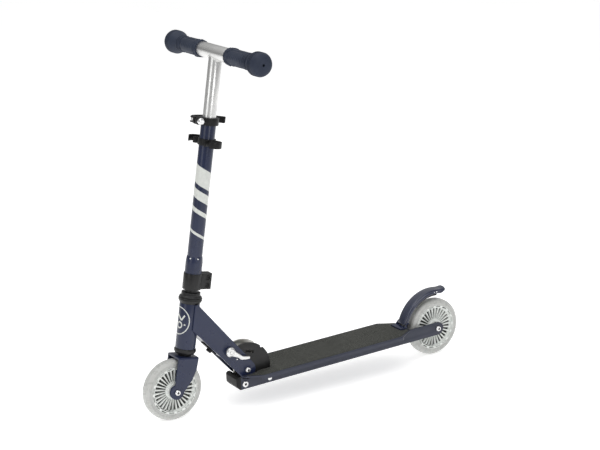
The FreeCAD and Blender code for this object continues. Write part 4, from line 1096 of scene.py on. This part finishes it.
def add_world():
    """White surround for the camera, a grey one with a darker horizon for glossy reflections, and an
    even grey one for all other light."""
    world = bpy.data.worlds.new("studio")
    world.use_nodes = True
    tree = world.node_tree
    tree.nodes.clear()
    path = tree.nodes.new("ShaderNodeLightPath")
    seen = tree.nodes.new("ShaderNodeBackground")
    seen.inputs["Color"].default_value = (1.0, 1.0, 1.0, 1.0)
    seen.inputs["Strength"].default_value = 1.0
    place = tree.nodes.new("ShaderNodeTexCoord")
    split = tree.nodes.new("ShaderNodeSeparateXYZ")
    band = tree.nodes.new("ShaderNodeValToRGB")
    ramp = band.color_ramp
    level = tree.nodes.new("ShaderNodeMapRange")
    level.inputs["From Min"].default_value = -1.0
    level.inputs["From Max"].default_value = 1.0
    around = tree.nodes.new("ShaderNodeBackground")
    around.inputs["Strength"].default_value = 1.0
    stops = [(0.0, 0.60), (0.46, 0.50), (0.53, 0.24), (0.66, 0.42), (1.0, 0.80)]
    while len(ramp.elements) < len(stops):
        ramp.elements.new(0.5)
    for element, (spot, grey) in zip(ramp.elements, stops):
        element.position = spot
        element.color = (grey, grey, grey, 1.0)
    soft = tree.nodes.new("ShaderNodeBackground")
    soft.inputs["Color"].default_value = (1.0, 1.0, 1.0, 1.0)
    soft.inputs["Strength"].default_value = 0.62
    shared = tree.nodes.new("ShaderNodeMixShader")
    mix = tree.nodes.new("ShaderNodeMixShader")
    out = tree.nodes.new("ShaderNodeOutputWorld")
    link = tree.links.new
    link(place.outputs["Generated"], split.inputs[0])
    link(split.outputs["Z"], level.inputs["Value"])
    link(level.outputs[0], band.inputs[0])
    link(band.outputs[0], around.inputs["Color"])
    link(path.outputs["Is Camera Ray"], mix.inputs[0])
    link(path.outputs["Is Glossy Ray"], shared.inputs[0])
    link(soft.outputs[0], shared.inputs[1])
    link(around.outputs[0], shared.inputs[2])
    link(shared.outputs[0], mix.inputs[1])
    link(seen.outputs[0], mix.inputs[2])
    link(mix.outputs[0], out.inputs[0])
    bpy.context.scene.world = world


VIEW_AZIMUTH = math.radians(58.282)
VIEW_ELEVATION = math.radians(16.02)
VIEW_ROLL = math.radians(-1.395)
VIEW_DISTANCE = 3.1479
VIEW_TARGET = Vector((0.0, -0.01163, 0.33449))
LENS = 96.81
SENSOR_WIDTH = 36.0


def add_camera():
    """Camera at the photograph's viewing angle, with no shift and no depth of field."""
    back = Vector((math.sin(VIEW_AZIMUTH) * math.cos(VIEW_ELEVATION),
                   -math.cos(VIEW_AZIMUTH) * math.cos(VIEW_ELEVATION), math.sin(VIEW_ELEVATION)))
    right = Vector((math.cos(VIEW_AZIMUTH), math.sin(VIEW_AZIMUTH), 0.0))
    up = back.cross(right)
    rolled_right = right * math.cos(VIEW_ROLL) + up * math.sin(VIEW_ROLL)
    rolled_up = up * math.cos(VIEW_ROLL) - right * math.sin(VIEW_ROLL)
    lens = bpy.data.cameras.new("photo_view")
    lens.lens = LENS
    lens.sensor_width = SENSOR_WIDTH
    camera = bpy.data.objects.new("photo_view", lens)
    camera.matrix_world = axes_matrix(VIEW_TARGET + back * VIEW_DISTANCE, rolled_right, rolled_up, back)
    bpy.context.scene.collection.objects.link(camera)
    bpy.context.scene.camera = camera


add_floor()
add_world()
add_light("overhead", (0.2, -0.3, 2.6), (0, 0, 0.3), (2.6, 2.2), 24.0)
add_light("left_key", (2.6, -0.4, 1.5), (0, 0, 0.35), (0.8, 1.8), 17.0)
add_light("front_fill", (0.6, -2.8, 1.2), (0, 0, 0.35), (1.2, 1.6), 9.0)
add_light("back_rim", (-1.2, 2.6, 1.6), (0, 0, 0.3), (1.6, 1.4), 9.0)
add_camera()
bpy.context.scene.view_settings.view_transform = "Standard"
